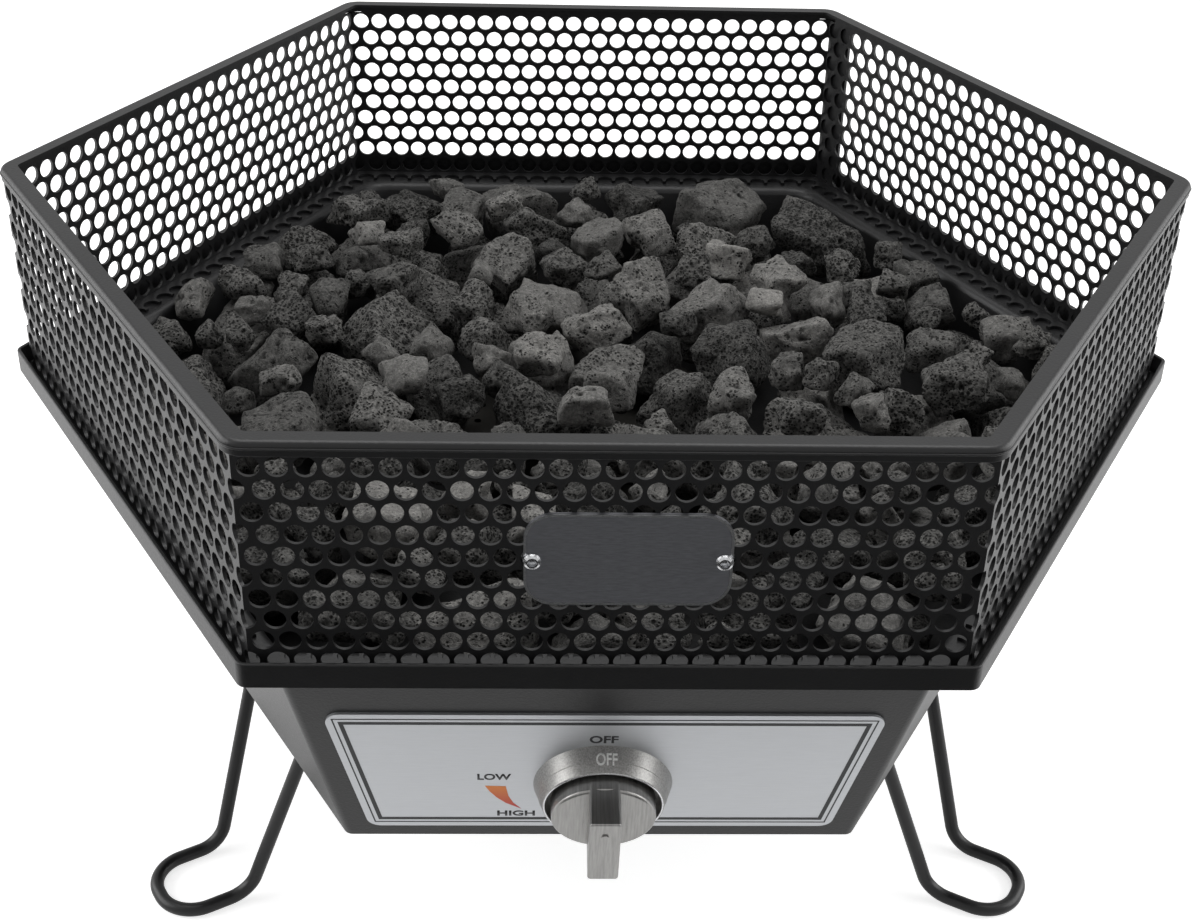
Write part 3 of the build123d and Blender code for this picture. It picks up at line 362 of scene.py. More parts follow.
def ink(name, tone):
    # The grain is drawn several times as coarse as the mesh of a printing screen, to show
    finish, tree, shader, place = new_finish(name)
    grain = add_node(
        tree, "ShaderNodeTexNoise", {"Scale": per_metre(ink_grain_mm), "Detail": 2.0}, {"Vector": place}
    )
    ramp = add_node(tree, "ShaderNodeValToRGB", links={"Fac": grain.outputs["Fac"]})
    base = linear(tone)
    ramp.color_ramp.elements[0].color = tuple(c * 0.8 for c in base[:3]) + (1.0,)
    ramp.color_ramp.elements[1].color = tuple(c * 1.2 for c in base[:3]) + (1.0,)
    tree.links.new(ramp.outputs["Color"], shader.inputs["Base Color"])
    shader.inputs["Roughness"].default_value = 0.55
    return finish


# Matt black, which stays dark beside the shine of the plate
black_ink = ink("black_screen_ink", "#242527")
# Enamel on the bezel: pale letters that don't change with the light as the metal does
pale_ink = ink("pale_grey_enamel", "#e2e2e0")

# The flame mark fades from orange at its wide end to red at its point
flame_ink, tree, shader, place = new_finish("orange_to_red_screen_ink")
across = add_node(tree, "ShaderNodeSeparateXYZ", links={"Vector": place})
fade = add_node(
    tree, "ShaderNodeMapRange", {"From Min": flame_foot, "From Max": flame_head},
    {"Value": across.outputs["Z"]},
)
fade_ramp = add_node(tree, "ShaderNodeValToRGB", links={"Fac": fade.outputs[0]})
fade_ramp.color_ramp.elements[0].color = linear("#c4383a")
fade_ramp.color_ramp.elements[1].color = linear("#e88a3c")
tree.links.new(fade_ramp.outputs["Color"], shader.inputs["Base Color"])
shader.inputs["Roughness"].default_value = 0.5
print("inks:", black_ink.name, pale_ink.name, flame_ink.name)

# %% [markdown]
# ## Lava rock
# Scoria is cooled froth: dull, dark and full of pores, and each pore's inside is near black with
# painted shade. Each stone carries its own tint and its own share of froth, so some are close-grained
# and pale and some all pores. The wide pores are pressed into the mesh further down. The fine ones
# would need millions of faces there, so the finish draws them, as round pits in the cells of a
# Voronoi pattern, with painted shade in them.

# %% Marks and pores of the rock
dust_mm, grit_mm = 5, 1.1
froth_pull = 0.28
lava, tree, shader, place = new_finish("scoria_lava_rock")
# The pit mark is painted shade: how near black the inside of a pit pressed into the mesh is painted
tint_mark, froth_mark, pit_shade_mark = [
    add_node(tree, "ShaderNodeAttribute", attribute_name=name, attribute_type="GEOMETRY").outputs["Fac"]
    for name in ("stone_tint", "froth", "pit_shade")
]


def open_pores(size_mm, wide_share, patch_mm, patch_from):
    # Round pits, one in each cell, kept in patches that are wider on a frothy stone
    cells = add_node(tree, "ShaderNodeTexVoronoi", {"Scale": per_metre(size_mm)}, {"Vector": place})
    pits = add_node(
        tree, "ShaderNodeMapRange",
        {"From Min": 0.5 * wide_share, "From Max": wide_share, "To Min": 1.0, "To Max": 0.0},
        {"Value": cells.outputs["Distance"]},
    )
    patches = add_node(
        tree, "ShaderNodeTexNoise", {"Scale": per_metre(patch_mm), "Detail": 3.0, "Roughness": 0.6},
        {"Vector": place},
    )
    frothy = add_node(
        tree, "ShaderNodeMath", {1: froth_pull}, {0: froth_mark, 2: patches.outputs["Fac"]},
        operation="MULTIPLY_ADD",
    )
    where = add_node(
        tree, "ShaderNodeMapRange", {"From Min": patch_from, "From Max": patch_from + 0.1},
        {"Value": frothy.outputs[0]},
    )
    kept = add_node(
        tree, "ShaderNodeMath", links={0: pits.outputs[0], 1: where.outputs[0]}, operation="MULTIPLY"
    )
    return kept.outputs[0]


dust = add_node(
    tree, "ShaderNodeTexNoise", {"Scale": per_metre(dust_mm), "Detail": 6.0, "Roughness": 0.7},
    {"Vector": place},
)
grit = add_node(
    tree, "ShaderNodeTexNoise", {"Scale": per_metre(grit_mm), "Detail": 4.0, "Roughness": 0.75},
    {"Vector": place},
)
small_pores = open_pores(size_mm=1.25, wide_share=0.46, patch_mm=3.5, patch_from=0.55)
large_pores = open_pores(size_mm=2.6, wide_share=0.40, patch_mm=7.0, patch_from=0.58)
pores = add_node(tree, "ShaderNodeMath", links={0: small_pores, 1: large_pores}, operation="MAXIMUM")
print("pattern nodes of the rock:", len(tree.nodes))

# %% Tone and relief of the rock
dust_share, grit_share = 0.55, 0.7
relief_mm = 1.0
speckle = add_node(
    tree, "ShaderNodeMapRange", {"From Min": 0.3, "From Max": 0.7, "To Min": -0.20, "To Max": 0.20},
    {"Value": grit.outputs["Fac"]},
)
tone = add_node(
    tree, "ShaderNodeMath", {1: dust_share}, {0: dust.outputs["Fac"], 2: tint_mark},
    operation="MULTIPLY_ADD",
)
tone = add_node(tree, "ShaderNodeMath", links={0: tone.outputs[0], 1: speckle.outputs[0]}, operation="ADD")
stone_ramp = add_node(tree, "ShaderNodeValToRGB", links={"Fac": tone.outputs[0]})
stone_ramp.color_ramp.elements[0].color = linear("#262625")
stone_ramp.color_ramp.elements[0].position = 0.2
stone_ramp.color_ramp.elements[1].color = linear("#a09e9a")
stone_ramp.color_ramp.elements[1].position = 1.0
middle_tone = stone_ramp.color_ramp.elements.new(0.6)
middle_tone.color = linear("#696866")
# Painted shade: the drawn pores and the pressed pits are mixed to near black, as shade inside the hollows
pore_shade = add_node(tree, "ShaderNodeMath", links={0: pores.outputs[0], 1: pit_shade_mark}, operation="MAXIMUM")

# Sockets of a mix node share their names, so these go by number: 0 share, 6 and 7 the two colours
dark = add_node(
    tree, "ShaderNodeMix", {7: linear("#0f0f0e")},
    {0: pore_shade.outputs[0], 6: stone_ramp.outputs["Color"]}, data_type="RGBA",
)
tree.links.new(dark.outputs[2], shader.inputs["Base Color"])
shader.inputs["Roughness"].default_value = 0.92
shader.inputs["Specular IOR Level"].default_value = 0.25
height = add_node(
    tree, "ShaderNodeMath", {1: grit_share}, {0: grit.outputs["Fac"], 2: dust.outputs["Fac"]},
    operation="MULTIPLY_ADD",
)
height = add_node(
    tree, "ShaderNodeMath", links={0: height.outputs[0], 1: pores.outputs[0]}, operation="SUBTRACT"
)
bump = add_node(
    tree, "ShaderNodeBump", {"Strength": 0.9, "Distance": relief_mm * MM}, {"Height": height.outputs[0]}
)
tree.links.new(bump.outputs[0], shader.inputs["Normal"])
print("finishes:", len(bpy.data.materials))

# %% [markdown]
# ## Dress the frame
# The parts that are right as they are keep their own mesh and only get a finish. The record
# names a slot for each part, so a table from slot to finish dresses them all. Only the knob
# differs from its slot, because its faces are brushed and the bezel round it is not.

# %% Give each node its finish
finish_of_slot = {
    "powder_coat": powder_coat,
    "leg_coat": wire_coat,
    "control_plate": plate_metal,
    "knob_metal": knob_metal,
    "badge_metal": badge_metal,
    "bright_steel": bright_steel,
    "burner_steel": burner_steel,
    "gas_brass": gas_brass,
    "gas_tube": gas_tube,
    "lava": lava,
}
finish_of_node = {"control_knob": brushed_knob_metal}
for subpart in frame["record"]["subparts"]:
    mesh = nodes[subpart["node"]].data
    mesh.materials.clear()
    mesh.materials.append(finish_of_node.get(subpart["node"], finish_of_slot[subpart["material_slot"]]))

# %% [markdown]
# ## Lava rocks
# Scoria is broken up and tumbled, so a stone is a lump with chipped faces, worn edges and open
# pores. The solids of the bed already lie as a pile of flat-faced lumps, so each one serves as
# the mould of a stone: points of a ball are pushed out from its middle to those faces, with the
# meeting of the faces softened, and then lumps and pores are pressed in. Stones that nothing
# covers get a fine ball and the deep ones a coarse ball, because detail that can't be seen only
# costs memory. All of it is done in arrays, which is far quicker than point by point.

# %% Patterns in arrays
def lattice_value(cells, seed):
    # A random number from 0 to 1 for each cell of a grid, the same in each run. The large odd
    # numbers only stir the bits, so that neighbouring cells have nothing in common
    across, along, up = cells[..., 0], cells[..., 1], cells[..., 2]
    mixed = across * 374761393 + along * 668265263 + up * 2147483647 + seed * 974711
    mixed = (mixed ^ (mixed >> 13)) * 1274126177
    return ((mixed ^ (mixed >> 16)) & 0xFFFF) / 65535.0


def ripple(points, size, seed):
    # Smooth random waves of about that size, from -1 to 1
    spot = points / size
    low = np.floor(spot).astype(np.int64)
    part = spot - low
    part = part * part * (3 - 2 * part)
    total = np.zeros(len(points))
    for step in np.ndindex(2, 2, 2):
        corner = lattice_value(low + np.array(step), seed)
        near = np.abs(1 - np.array(step) - part)
        total += corner * (near[:, 0] * near[:, 1] * near[:, 2])
    return 2 * total - 1


def nearest_bubble(points, size, seed):
    # Distance to the nearest of the random bubbles, one in each cell, as a share of the size
    spot = points / size
    low = np.floor(spot).astype(np.int64)
    best = np.full(len(points), np.inf)
    for step in np.ndindex(3, 3, 3):
        cell = low + np.array(step) - 1
        middle = cell + np.stack([lattice_value(cell, seed + k) for k in (1, 2, 3)], axis=-1)
        best = np.minimum(best, np.sqrt(((spot - middle) ** 2).sum(axis=1)))
    return best


def ramp_between(values, low, high):
    share = np.clip((values - low) / (high - low), 0, 1)
    return share * share * (3 - 2 * share)


print("a ripple at three points:", ripple(np.arange(9.0).reshape(3, 3), 2.5, 1).round(2))

# %% Take a node apart into its shells
weld_mm = 0.01


def shells_of(node):
    # For each closed shell of a node: corners, face middles, face directions, all in metres.
    # A node's mesh is loose triangles, so a copy of it is welded first
    work = bmesh.new()
    work.from_mesh(node.data)
    bmesh.ops.remove_doubles(work, verts=work.verts, dist=weld_mm * MM)
    found, taken = [], set()
    for first in work.verts:
        if first in taken:
            continue
        shell, queue = [], [first]
        taken.add(first)
        while queue:
            vertex = queue.pop()
            shell.append(vertex)
            for edge in vertex.link_edges:
                other = edge.other_vert(vertex)
                if other not in taken:
                    taken.add(other)
                    queue.append(other)
        faces = {face for vertex in shell for face in vertex.link_faces}
        faces = sorted(faces, key=lambda face: face.index)
        found.append((
            np.array([vertex.co[:] for vertex in shell]),
            np.array([face.calc_center_median()[:] for face in faces]),
            np.array([face.normal[:] for face in faces]),
        ))
    work.free()
    return found


moulds = shells_of(nodes["lava_rocks"])
print("stones in the bed:", len(moulds))

# %% Which stones show
bed = nodes["lava_rocks"].data
bed_tree = BVHTree.FromPolygons([v.co for v in bed.vertices], [f.vertices for f in bed.polygons])
looks = [Vector((0, 0, 1))] + [Vector((cos(k), sin(k), 1)).normalized() for k in np.arange(6) * pi / 3]
clear_of_face = 0.05


def shows(spots, facing):
    # Whether any face of a stone has a clear view up, or up and out
    for spot, normal in zip(spots, facing):
        start = Vector(spot) + clear_of_face * MM * Vector(normal)
        for look in looks:
            if Vector(normal).dot(look) > 0 and bed_tree.ray_cast(start, look)[0] is None:
                return True
    return False


in_view = [shows(spots, facing) for _, spots, facing in moulds]
print("stones that show:", sum(in_view))

# %% Press lumps and pores into a stone
# Lumps go with a stone's size, so these are shares of it. Pores and grain are in millimetres
big_lump, big_lump_deep = 0.36, 0.06
small_lump, small_lump_deep = 0.17, 0.035
worn_away = 0.045
# The _dark shares are painted shade: how near black the inside of each pore is painted
wide_pore, wide_pore_deep, wide_pore_dark = 5.0, 1.8, 0.9
fine_pore, fine_pore_deep, fine_pore_dark = 2.8, 0.9, 0.75
pore_patch, patch_from, patch_full = 10.0, 0.4, 0.7
pit_floor, pit_edge = 0.16, 0.46
least_fine_pores = 0.25
coarse_grain, coarse_grain_deep = 3.6, 0.45
fine_grain, fine_grain_deep = 1.8, 0.3


def roughen(points, directions, size, froth, seed):
    lumps = ripple(points, big_lump * size, seed) * big_lump_deep * size
    lumps = lumps + ripple(points, small_lump * size, seed + 5) * small_lump_deep * size
    wide = nearest_bubble(points, wide_pore, seed + 11)
    fine = nearest_bubble(points, fine_pore, seed + 23)
    where = ramp_between(ripple(points, pore_patch, seed + 31), patch_from - froth, patch_full)
    wide_pit = (1 - ramp_between(wide, pit_floor, pit_edge)) * where
    fine_share = least_fine_pores + (1 - least_fine_pores) * froth
    fine_pit = (1 - ramp_between(fine, pit_floor, pit_edge)) * fine_share
    grain = ripple(points, coarse_grain, seed + 41) * coarse_grain_deep
    grain = grain + ripple(points, fine_grain, seed + 47) * fine_grain_deep
    press = lumps - worn_away * size - wide_pit * wide_pore_deep - fine_pit * fine_pore_deep + grain
    # Painted shade: the pressed pits are marked to be painted near black, as the shade inside them
    painted_pit_shade = np.clip(wide_pore_dark * wide_pit + fine_pore_dark * fine_pit, 0, 1)
    return points + directions * press[:, None], painted_pit_shade


def unit_ball(level):
    ball = bmesh.new()
    bmesh.ops.create_icosphere(ball, subdivisions=level, radius=1.0)
    ball.verts.ensure_lookup_table()
    points = np.array([v.co for v in ball.verts])
    faces = np.array([[v.index for v in f.verts] for f in ball.faces])
    ball.free()
    return points / np.linalg.norm(points, axis=1)[:, None], faces


balls = {level: unit_ball(level) for level in (2, 3, 4, 5)}
print("points of the balls:", {level: len(points) for level, (points, _) in balls.items()})

# %% Make each stone from its mould
first_seed, relief_seed_step = 900, 100
coarsest = min(balls)
middling, large = 16, 30
softest_edge, sharpest_edge = 18, 36
usual_tint, tint_spread, darkest_tint, palest_tint = 0.22, 0.09, 0.05, 0.40
pale_share, pale_lift, pale_from, pale_froth = 0.06, 0.14, 0.32, 0.4


def stone_from(number, corners, spots, planes, seen):
    dice = np.random.default_rng(first_seed + number)
    middle = corners.mean(axis=0)
    size = np.ptp(corners, axis=0).max() / MM
    offsets = ((spots - middle) * planes).sum(axis=1) / MM
    planes, first = np.unique(planes.round(3), axis=0, return_index=True)
    level = coarsest
    if seen:
        level += 1 + int(size > middling) + int(size > large)
    directions, faces = balls[level]
    edge = dice.uniform(softest_edge, sharpest_edge)
    facing = np.clip(directions @ planes.T, 0, None) / offsets[first]
    distance = (facing ** edge).sum(axis=1) ** (-1 / edge)
    shape = middle / MM + directions * distance[:, None]
    # Painted shade inside the pits, none on a stone that doesn't show
    pit_shade = np.zeros(len(shape))
    tint = np.clip(dice.normal(usual_tint, tint_spread), darkest_tint, palest_tint)
    if dice.random() < pale_share:
        tint += pale_lift
    froth = dice.uniform(0, 1) * (1.0 if tint < pale_from else pale_froth)
    if seen:
        shape, pit_shade = roughen(shape, directions, size, froth, relief_seed_step * number)
    return shape * MM, faces, {"pit_shade": pit_shade, "stone_tint": tint, "froth": froth}


stones = [stone_from(number, *mould, seen) for number, (mould, seen) in enumerate(zip(moulds, in_view))]
print("stones:", len(stones), "points:", sum(len(shape) for shape, _, _ in stones))


# %% Write the stones as pieces
def add_piece(name, mesh, body, finish=None):
    # A finished mesh becomes a piece that moves with a body
    mesh.name = name
    if finish:
        mesh.materials.clear()
        mesh.materials.append(finish)
    piece = bpy.data.objects.new(name, mesh)
    bpy.context.scene.collection.objects.link(piece)
    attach(piece, body)
    print(name, "faces:", len(mesh.polygons))
    return piece


def stone_piece(name, members):
    starts = np.cumsum([0] + [len(shape) for shape, _, _ in members])
    mesh = bpy.data.meshes.new(name)
    mesh.from_pydata(
        np.vstack([shape for shape, _, _ in members]).tolist(), [],
        np.vstack([faces + start for (_, faces, _), start in zip(members, starts)]).tolist(),
    )
    # The pit mark carries painted shade; the tint and the froth are the stone's own
    for label in ("pit_shade", "stone_tint", "froth"):
        values = np.concatenate([np.broadcast_to(marks[label], len(shape)) for shape, _, marks in members])
        mesh.attributes.new(label, "FLOAT", "POINT").data.foreach_set("value", values.astype(np.float32))
    mesh.polygons.foreach_set("use_smooth", [True] * len(mesh.polygons))
    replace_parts(add_piece(name, mesh, "base", lava), "lava_rocks")


most_faces = 170000
group, faces_so_far, pieces_made = [], 0, 0
for stone in stones + [None]:
    if stone is None or faces_so_far + len(stone[1]) > most_faces:
        pieces_made += 1
        stone_piece(f"lava_rocks_{pieces_made}", group)
        group, faces_so_far = [], 0
    if stone is not None:
        group.append(stone)
        faces_so_far += len(stone[1])

# %% [markdown]
# ## Printing on the front plate
# The plate is printed with two frame lines, three words and a flame mark that grows from low to
# high. Ink could be a texture, but then it would blur close up, so each mark is a thin film with
# its own mesh, laid on the plate's plane. The plane leans with the wall, so a small function
# turns plate measures, in millimetres across and up, into places.

# %% The plate's plane
body_top_radius, body_foot_radius = 214.0, 181.0
body_tall, body_top = 101.5, 190.5
plate_down_wall = 28.9
plate_face = 1.0
ink_film = 0.06
flat_share = cos(radians(30))

wall_lean = np.arctan2((body_top_radius - body_foot_radius) * flat_share, body_tall)
plate_up = Vector((0, -sin(wall_lean), cos(wall_lean)))
plate_out = Vector((0, -cos(wall_lean), -sin(wall_lean)))
plate_top_edge = Vector((
    0,
    (body_top_radius * flat_share - plate_down_wall * sin(wall_lean)) * -MM,
    (body_top - plate_down_wall * cos(wall_lean)) * MM,
))


def on_plate(across, up, out):
    return plate_top_edge + Vector((1, 0, 0)) * across * MM + plate_up * up * MM + plate_out * out * MM


print("the wall leans by", round(wall_lean * 180 / pi, 1), "degrees")

# %% Frame lines
plate_top_wide, plate_foot_wide, plate_tall = 187.0, 164.0, 69.0


def plain_mesh(maker):
    # What an object with a curve, a text or a modifier comes to, as a mesh of its own
    bpy.context.scene.collection.objects.link(maker)
    bpy.context.view_layer.update()
    mesh = bpy.data.meshes.new_from_object(maker.evaluated_get(bpy.context.evaluated_depsgraph_get()))
    bpy.data.objects.remove(maker)
    return mesh


def film(
    name, loops, finish, body="base", place=on_plate, level=plate_face, thick=ink_film
):
    # The first loop is the edge and the others are holes, in measures of the surface
    curve = bpy.data.curves.new(name, "CURVE")
    curve.dimensions = "2D"
    curve.fill_mode = "BOTH"
    for loop in loops:
        spline = curve.splines.new("POLY")
        spline.points.add(len(loop) - 1)
        for point, (across, up) in zip(spline.points, loop):
            point.co = (across, up, 0, 1)
        spline.use_cyclic_u = True
    curve.extrude = thick / 2
    mesh = plain_mesh(bpy.data.objects.new(name + "_flat", curve))
    for vertex in mesh.vertices:
        across, up, out = vertex.co
        vertex.co = place(across, up, level + thick / 2 + out)
    add_piece(name, mesh, body, finish)


def plate_loop(inset):
    # The plate's four-sided outline moved in by an even amount, measured from its top edge
    slope = (plate_top_wide / 2 - plate_foot_wide / 2) / plate_tall
    shift = inset * sqrt(1 + slope * slope)
    top, bottom = -inset, -plate_tall + inset
    half_top, half_bottom = (plate_top_wide / 2 + slope * up - shift for up in (top, bottom))
    return [(-half_bottom, bottom), (half_bottom, bottom), (half_top, top), (-half_top, top)]


for name, inset, width in (("plate_thin_line", 2.4, 0.5), ("plate_wide_line", 4.2, 1.5)):
    film(name, [plate_loop(inset), plate_loop(inset + width)], black_ink)


# %% Words and the flame mark
def word(
    name, text, middle, wide, tall, finish, heavy,
    place=on_plate, level=plate_face, thick=ink_film,
):
    # A word set in the plain built-in face, then stretched to its measured width and height
    curve = bpy.data.curves.new(name, "FONT")
    curve.body = text
    curve.size = 1.0
    curve.offset = heavy
    curve.resolution_u = 4
    mesh = plain_mesh(bpy.data.objects.new(name + "_set", curve))
    points = np.array([v.co[:] for v in mesh.vertices])
    low, high = points.min(axis=0), points.max(axis=0)
    work = bmesh.new()
    work.from_mesh(mesh)
    bmesh.ops.remove_doubles(work, verts=work.verts, dist=1e-5)
    for vertex in work.verts:
        vertex.co.x = middle[0] + ((vertex.co.x - low[0]) / (high[0] - low[0]) - 0.5) * wide
        vertex.co.y = middle[1] + ((vertex.co.y - low[1]) / (high[1] - low[1]) - 0.5) * tall
        vertex.co.z = 0.0
    bmesh.ops.recalc_face_normals(work, faces=work.faces)
    if sum(face.normal.z for face in work.faces) < 0:
        bmesh.ops.reverse_faces(work, faces=work.faces)
    raised = bmesh.ops.extrude_face_region(work, geom=list(work.faces))
    for item in raised["geom"]:
        if isinstance(item, bmesh.types.BMVert):
            item.co.z = thick
    bmesh.ops.recalc_face_normals(work, faces=work.faces)
    for vertex in work.verts:
        vertex.co = place(vertex.co.x, vertex.co.y, level + vertex.co.z)
    work.to_mesh(mesh)
    work.free()
    add_piece(name, mesh, "base", finish)


for name, text, middle, wide, tall in (
    ("plate_off", "OFF", (-0.4, -14.1), 9.7, 4.3),
    ("plate_low", "LOW", (-37.4, -37.2), 11.6, 3.8),
    ("plate_high", "HIGH", (-30.0, -60.6), 13.3, 3.4),
):
    word(name, text, middle, wide, tall, black_ink, heavy=0.03)
flame_left = [(-40.7, -42.8), (-39.0, -46.6), (-36.6, -50.4), (-33.6, -53.8), (-28.2, -57.6)]
flame_right = [(-31.0, -53.6), (-32.6, -49.4), (-33.5, -43.1)]
film("plate_flame_mark", [flame_left + flame_right], flame_ink)

# %% [markdown]
# ## A word on the bezel
# The bezel is a short cone, and its word follows the curve. A flat word is set first, and then
# each of its points is rolled onto the cone by angle and slant, so the letters bend with it.

# %% The bezel's cone
knob_middle = Vector((0, -166.222, 122.639)) * MM
bezel_back, bezel_front = 1.0, 10.0
bezel_wide, bezel_narrow = 24.0, 20.8
bezel_slant = sqrt((bezel_front - bezel_back) ** 2 + (bezel_wide - bezel_narrow) ** 2)
bezel_tilt = np.arctan2(bezel_wide - bezel_narrow, bezel_front - bezel_back)


def round_knob(radius, turn, depth):
    radial = plate_up * cos(turn) + Vector((1, 0, 0)) * sin(turn)
    return knob_middle + radial * radius * MM + plate_out * depth * MM


def on_bezel(across, up, out):
    share = 0.5 - up / bezel_slant
    radius = bezel_wide + (bezel_narrow - bezel_wide) * share
    depth = bezel_back + (bezel_front - bezel_back) * share
    return round_knob(radius + out * cos(bezel_tilt), across / radius, depth + out * sin(bezel_tilt))


word(
    "bezel_off", "OFF", (0.6, 0.1), 7.2, 4.3, pale_ink, heavy=0.02,
    place=on_bezel, level=-0.02, thick=0.12,
)

# %% [markdown]
# ## Rolled edges
# The rim of the guard is hemmed: the sheet is folded over, and the fold leaves a fine roll on
# its outer side. The bezel has a parting line from its mould and a polished front edge. All
# three follow a path, so one Geometry Nodes tree sweeps a small round section along a closed
# path, and the same tree serves them all with other sizes.

# %% The tree that sweeps a roll along a path
def new_tree(name, inputs):
    tree = bpy.data.node_groups.new(name, "GeometryNodeTree")
    tree.interface.new_socket("Geometry", in_out="INPUT", socket_type="NodeSocketGeometry")
    for label, kind in inputs:
        tree.interface.new_socket(label, in_out="INPUT", socket_type=kind)
    tree.interface.new_socket("Geometry", in_out="OUTPUT", socket_type="NodeSocketGeometry")
    return tree, add_node(tree, "NodeGroupInput"), add_node(tree, "NodeGroupOutput")


roll_tree, given, result = new_tree(
    "roll_along_path", (("Roll radius", "NodeSocketFloat"), ("Finish", "NodeSocketMaterial"))
)
path = add_node(roll_tree, "GeometryNodeMeshToCurve", links={"Mesh": given.outputs["Geometry"]})
section = add_node(
    roll_tree, "GeometryNodeCurvePrimitiveCircle", {"Resolution": 8},
    {"Radius": given.outputs["Roll radius"]},
)
swept = add_node(
    roll_tree, "GeometryNodeCurveToMesh",
    links={"Curve": path.outputs["Curve"], "Profile Curve": section.outputs["Curve"]},
)
smooth = add_node(roll_tree, "GeometryNodeSetShadeSmooth", links={"Geometry": swept.outputs["Mesh"]})
whole = add_node(roll_tree, "GeometryNodeRealizeInstances", links={"Geometry": smooth.outputs["Geometry"]})
painted = add_node(
    roll_tree, "GeometryNodeSetMaterial",
    links={"Geometry": whole.outputs["Geometry"], "Material": given.outputs["Finish"]},
)
roll_tree.links.new(painted.outputs["Geometry"], result.inputs["Geometry"])
print("nodes in the sweep:", len(roll_tree.nodes))

# %% Roll the three edges
hem_corner_radius, hem_rounding = 225.95, 9.0
hem_down, hem_roll = 2.3, 0.42
ring_points = 96


def grown(name, mesh, tree, values, body):
    # Runs a tree on a mesh and keeps what it gives as a plain piece
    seed_object = bpy.data.objects.new(name + "_seed", mesh)
    modifier = seed_object.modifiers.new("grow", "NODES")
    modifier.node_group = tree
    for item in tree.interface.items_tree:
        if item.in_out == "INPUT" and item.name in values:
            modifier[item.identifier] = values[item.name]
    return add_piece(name, plain_mesh(seed_object), body)


def closed_path(name, points):
    mesh = bpy.data.meshes.new(name)
    links = [(k, (k + 1) % len(points)) for k in range(len(points))]
    mesh.from_pydata([tuple(point) for point in points], links, [])
    return mesh


def hexagon_points(corner_radius, rounding, height, steps=8):
    points = []
    for corner in range(6):
        middle_turn = radians(60 * corner)
        inset = corner_radius - rounding / flat_share
        for step in range(steps + 1):
            turn = middle_turn + radians(60 * (step / steps - 0.5))
            points.append(Vector((
                inset * cos(middle_turn) + rounding * cos(turn),
                inset * sin(middle_turn) + rounding * sin(turn),
                height,
            )) * MM)
    return points


rim_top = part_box("guard_rim")[1].z / MM
hem = hexagon_points(hem_corner_radius, hem_rounding, rim_top - hem_down)
grown(
    "rim_hem_roll", closed_path("rim_hem_path", hem), roll_tree,
    {"Roll radius": hem_roll * MM, "Finish": powder_coat}, "guard",
)
for name, radius, depth, roll_radius, finish in (
    ("bezel_parting_line", 22.2, 6.06, 0.13, knob_metal),
    ("bezel_front_edge", 20.35, bezel_front - 0.25, 0.38, bright_steel),
):
    ring = [round_knob(radius, turn, depth) for turn in np.arange(ring_points) * 2 * pi / ring_points]
    grown(
        name, closed_path(name + "_path", ring), roll_tree,
        {"Roll radius": roll_radius * MM, "Finish": finish}, "base",
    )

# %% [markdown]
# ## Screws
# The same fasteners repeat: two screws through the guard and six under the service plate. One
# of each kind is turned on a lathe in code, and a tree places a copy wherever the frame has
# one. The frame says where: each closed shell of a fastener node is one place.

# %% Turn one screw of each kind
socket_rings = 3
socket_wave = 0.12


def turned(name, profile, steps=24):
    # Profile points run from the tip's middle to the foot's middle, in millimetres: radius, height.
    # The first rings are the socket, which has six lobes
    work = bmesh.new()
    rings = []
    for index, (radius, height) in enumerate(profile):
        if radius == 0:
            rings.append([work.verts.new((0, 0, height * MM))])
            continue
        ring = []
        for step in range(steps):
            turn = 2 * pi * step / steps
            wavy = radius * (1 + (socket_wave * cos(6 * turn) if index < socket_rings else 0))
            ring.append(work.verts.new((wavy * cos(turn) * MM, wavy * sin(turn) * MM, height * MM)))
        rings.append(ring)
    for upper, lower in zip(rings, rings[1:]):
        for step in range(steps):
            follow = (step + 1) % steps
            if len(upper) == 1:
                work.faces.new((upper[0], lower[step], lower[follow]))
            elif len(lower) == 1:
                work.faces.new((upper[step], lower[0], upper[follow]))
            else:
                work.faces.new((upper[step], lower[step], lower[follow], upper[follow]))
    bmesh.ops.recalc_face_normals(work, faces=work.faces)
    mesh = bpy.data.meshes.new(name)
    work.to_mesh(mesh)
    work.free()
    screw = bpy.data.objects.new(name, mesh)
    bpy.context.scene.collection.objects.link(screw)
    return screw


def screw_profile(head_radius, head_tall, shank_radius, shank_long):
    # From the socket's floor over the domed head to the end of the shank, as shares of the head
    socket = 0.46 * head_radius
    return [
        (0, 0.30 * head_tall),
        (0.8 * socket, 0.30 * head_tall),
        (socket, head_tall),
        (0.62 * head_radius, head_tall),
        (0.86 * head_radius, 0.80 * head_tall),
        (0.97 * head_radius, 0.48 * head_tall),
        (head_radius, 0.12 * head_tall),
        (0.97 * head_radius, 0),
        (shank_radius, 0),
        (shank_radius, -shank_long),
        (0, -shank_long),
    ]


shank_short = 0.02
badge_low, badge_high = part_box("badge_plate")
badge_shank = (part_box("badge_screws")[1].y - badge_low.y) / MM - shank_short
badge_screw = turned(
    "badge_screw", screw_profile(head_radius=2.9, head_tall=1.8, shank_radius=1.5, shank_long=badge_shank)
)
base_head_tall = 2.0
base_low, base_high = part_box("base_screws")
base_shank = (base_high.z - base_low.z) / MM - base_head_tall
base_screw = turned(
    "base_screw",
    screw_profile(head_radius=4.0, head_tall=base_head_tall, shank_radius=2.0, shank_long=base_shank),
)
print("shanks, in mm:", round(badge_shank, 2), round(base_shank, 2))

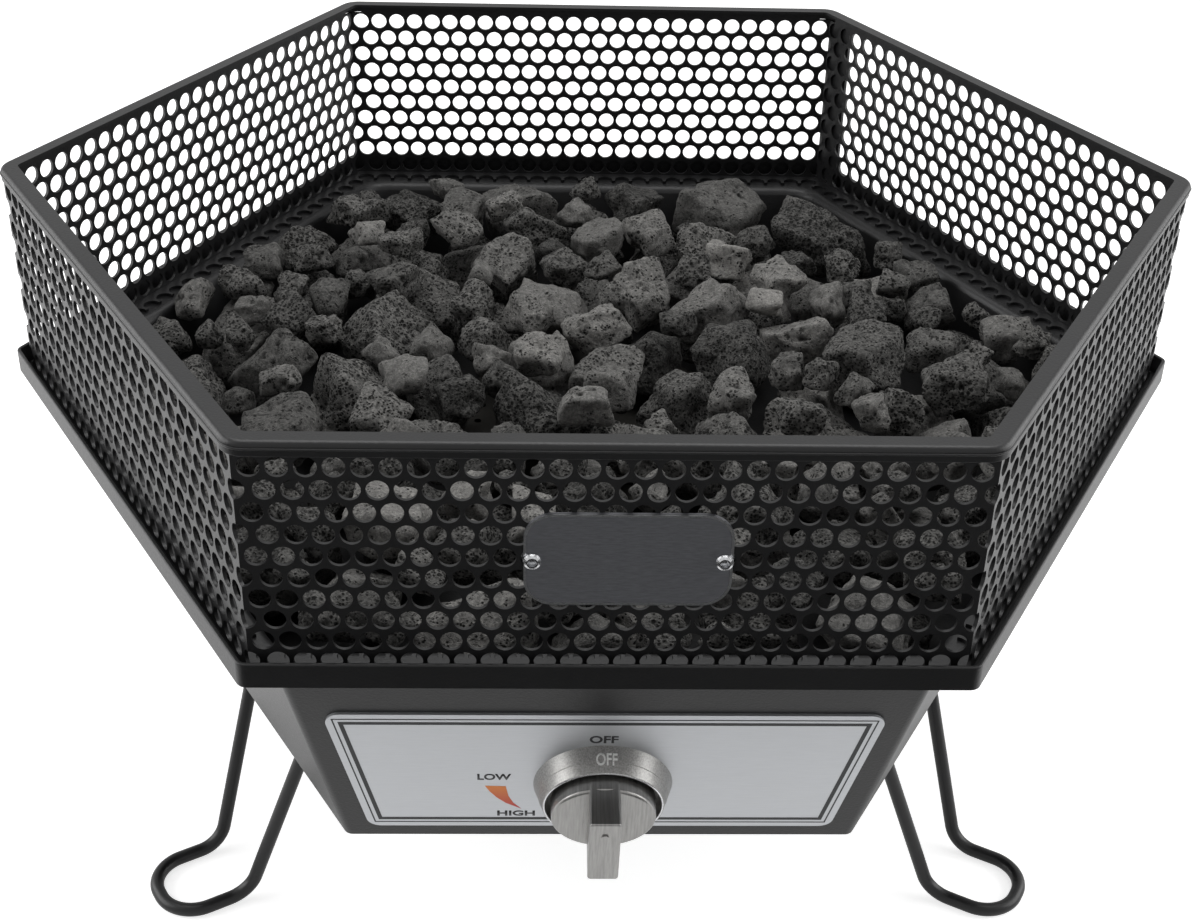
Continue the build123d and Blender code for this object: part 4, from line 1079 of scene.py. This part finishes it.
# %% The tree that sets copies on points
set_tree, given, result = new_tree(
    "copies_on_points",
    (("Copy", "NodeSocketObject"), ("Turn", "NodeSocketRotation"), ("Finish", "NodeSocketMaterial")),
)
copy_info = add_node(set_tree, "GeometryNodeObjectInfo", links={"Object": given.outputs["Copy"]})
placed = add_node(
    set_tree, "GeometryNodeInstanceOnPoints",
    links={
        "Points": given.outputs["Geometry"],
        "Instance": copy_info.outputs["Geometry"],
        "Rotation": given.outputs["Turn"],
    },
)
whole = add_node(set_tree, "GeometryNodeRealizeInstances", links={"Geometry": placed.outputs["Instances"]})
painted = add_node(
    set_tree, "GeometryNodeSetMaterial",
    links={"Geometry": whole.outputs["Geometry"], "Material": given.outputs["Finish"]},
)
set_tree.links.new(painted.outputs["Geometry"], result.inputs["Geometry"])
print("nodes in the setter:", len(set_tree.nodes))


# %% Set the screws
def fasteners(name, node, screw, seat_of, out, body):
    # One copy on each closed shell of the node, standing along its outward direction
    places = [seat_of(corners.min(axis=0), corners.max(axis=0)) for corners, _, _ in shells_of(nodes[node])]
    mesh = bpy.data.meshes.new(name + "_places")
    mesh.from_pydata([tuple(float(c) for c in place) for place in places], [], [])
    turn = Vector((0, 0, 1)).rotation_difference(Vector(out)).to_euler()
    values = {"Copy": screw, "Turn": turn, "Finish": bright_steel}
    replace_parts(grown(name, mesh, set_tree, values, body), node)
    bpy.data.objects.remove(screw)


fasteners(
    "badge_screw_pair", "badge_screws", badge_screw,
    lambda low, high: ((low[0] + high[0]) / 2, badge_low.y, (low[2] + high[2]) / 2),
    (0, -1, 0), "guard",
)
fasteners(
    "base_screw_set", "base_screws", base_screw,
    lambda low, high: ((low[0] + high[0]) / 2, (low[1] + high[1]) / 2, low[2] + base_head_tall * MM),
    (0, 0, -1), "base",
)

# %% [markdown]
# ## The guard's plain plate
# A small plate of dark etched metal is screwed to the front of the guard. Its edge was cut
# after etching, so it is bright. A bevel would need the plate's own mesh to change, so a slim
# bright film along the edge of the face shows that cut.

# %% Bright edge of the plate
badge_half_wide = (badge_high.x - badge_low.x) / 2 / MM
badge_half_tall = (badge_high.z - badge_low.z) / 2 / MM
badge_middle = (badge_low + badge_high) / 2
badge_rounding, cut_wide, cut_thick = 9.0, 0.8, 0.08


def on_badge(across, up, out):
    return Vector((badge_middle.x + across * MM, badge_low.y - out * MM, badge_middle.z + up * MM))


def badge_loop(inset, steps=8):
    rounding = badge_rounding - inset
    straight_wide = badge_half_wide - inset - rounding
    straight_tall = badge_half_tall - inset - rounding
    loop = []
    for corner, (side, level) in enumerate(((1, 1), (-1, 1), (-1, -1), (1, -1))):
        for step in range(steps + 1):
            turn = radians(90 * (corner + step / steps))
            loop.append((
                side * straight_wide + rounding * cos(turn),
                level * straight_tall + rounding * sin(turn),
            ))
    return loop


film(
    "badge_bright_edge", [badge_loop(0), badge_loop(cut_wide)], badge_edge_metal,
    body="guard", place=on_badge, level=0.0, thick=cut_thick,
)
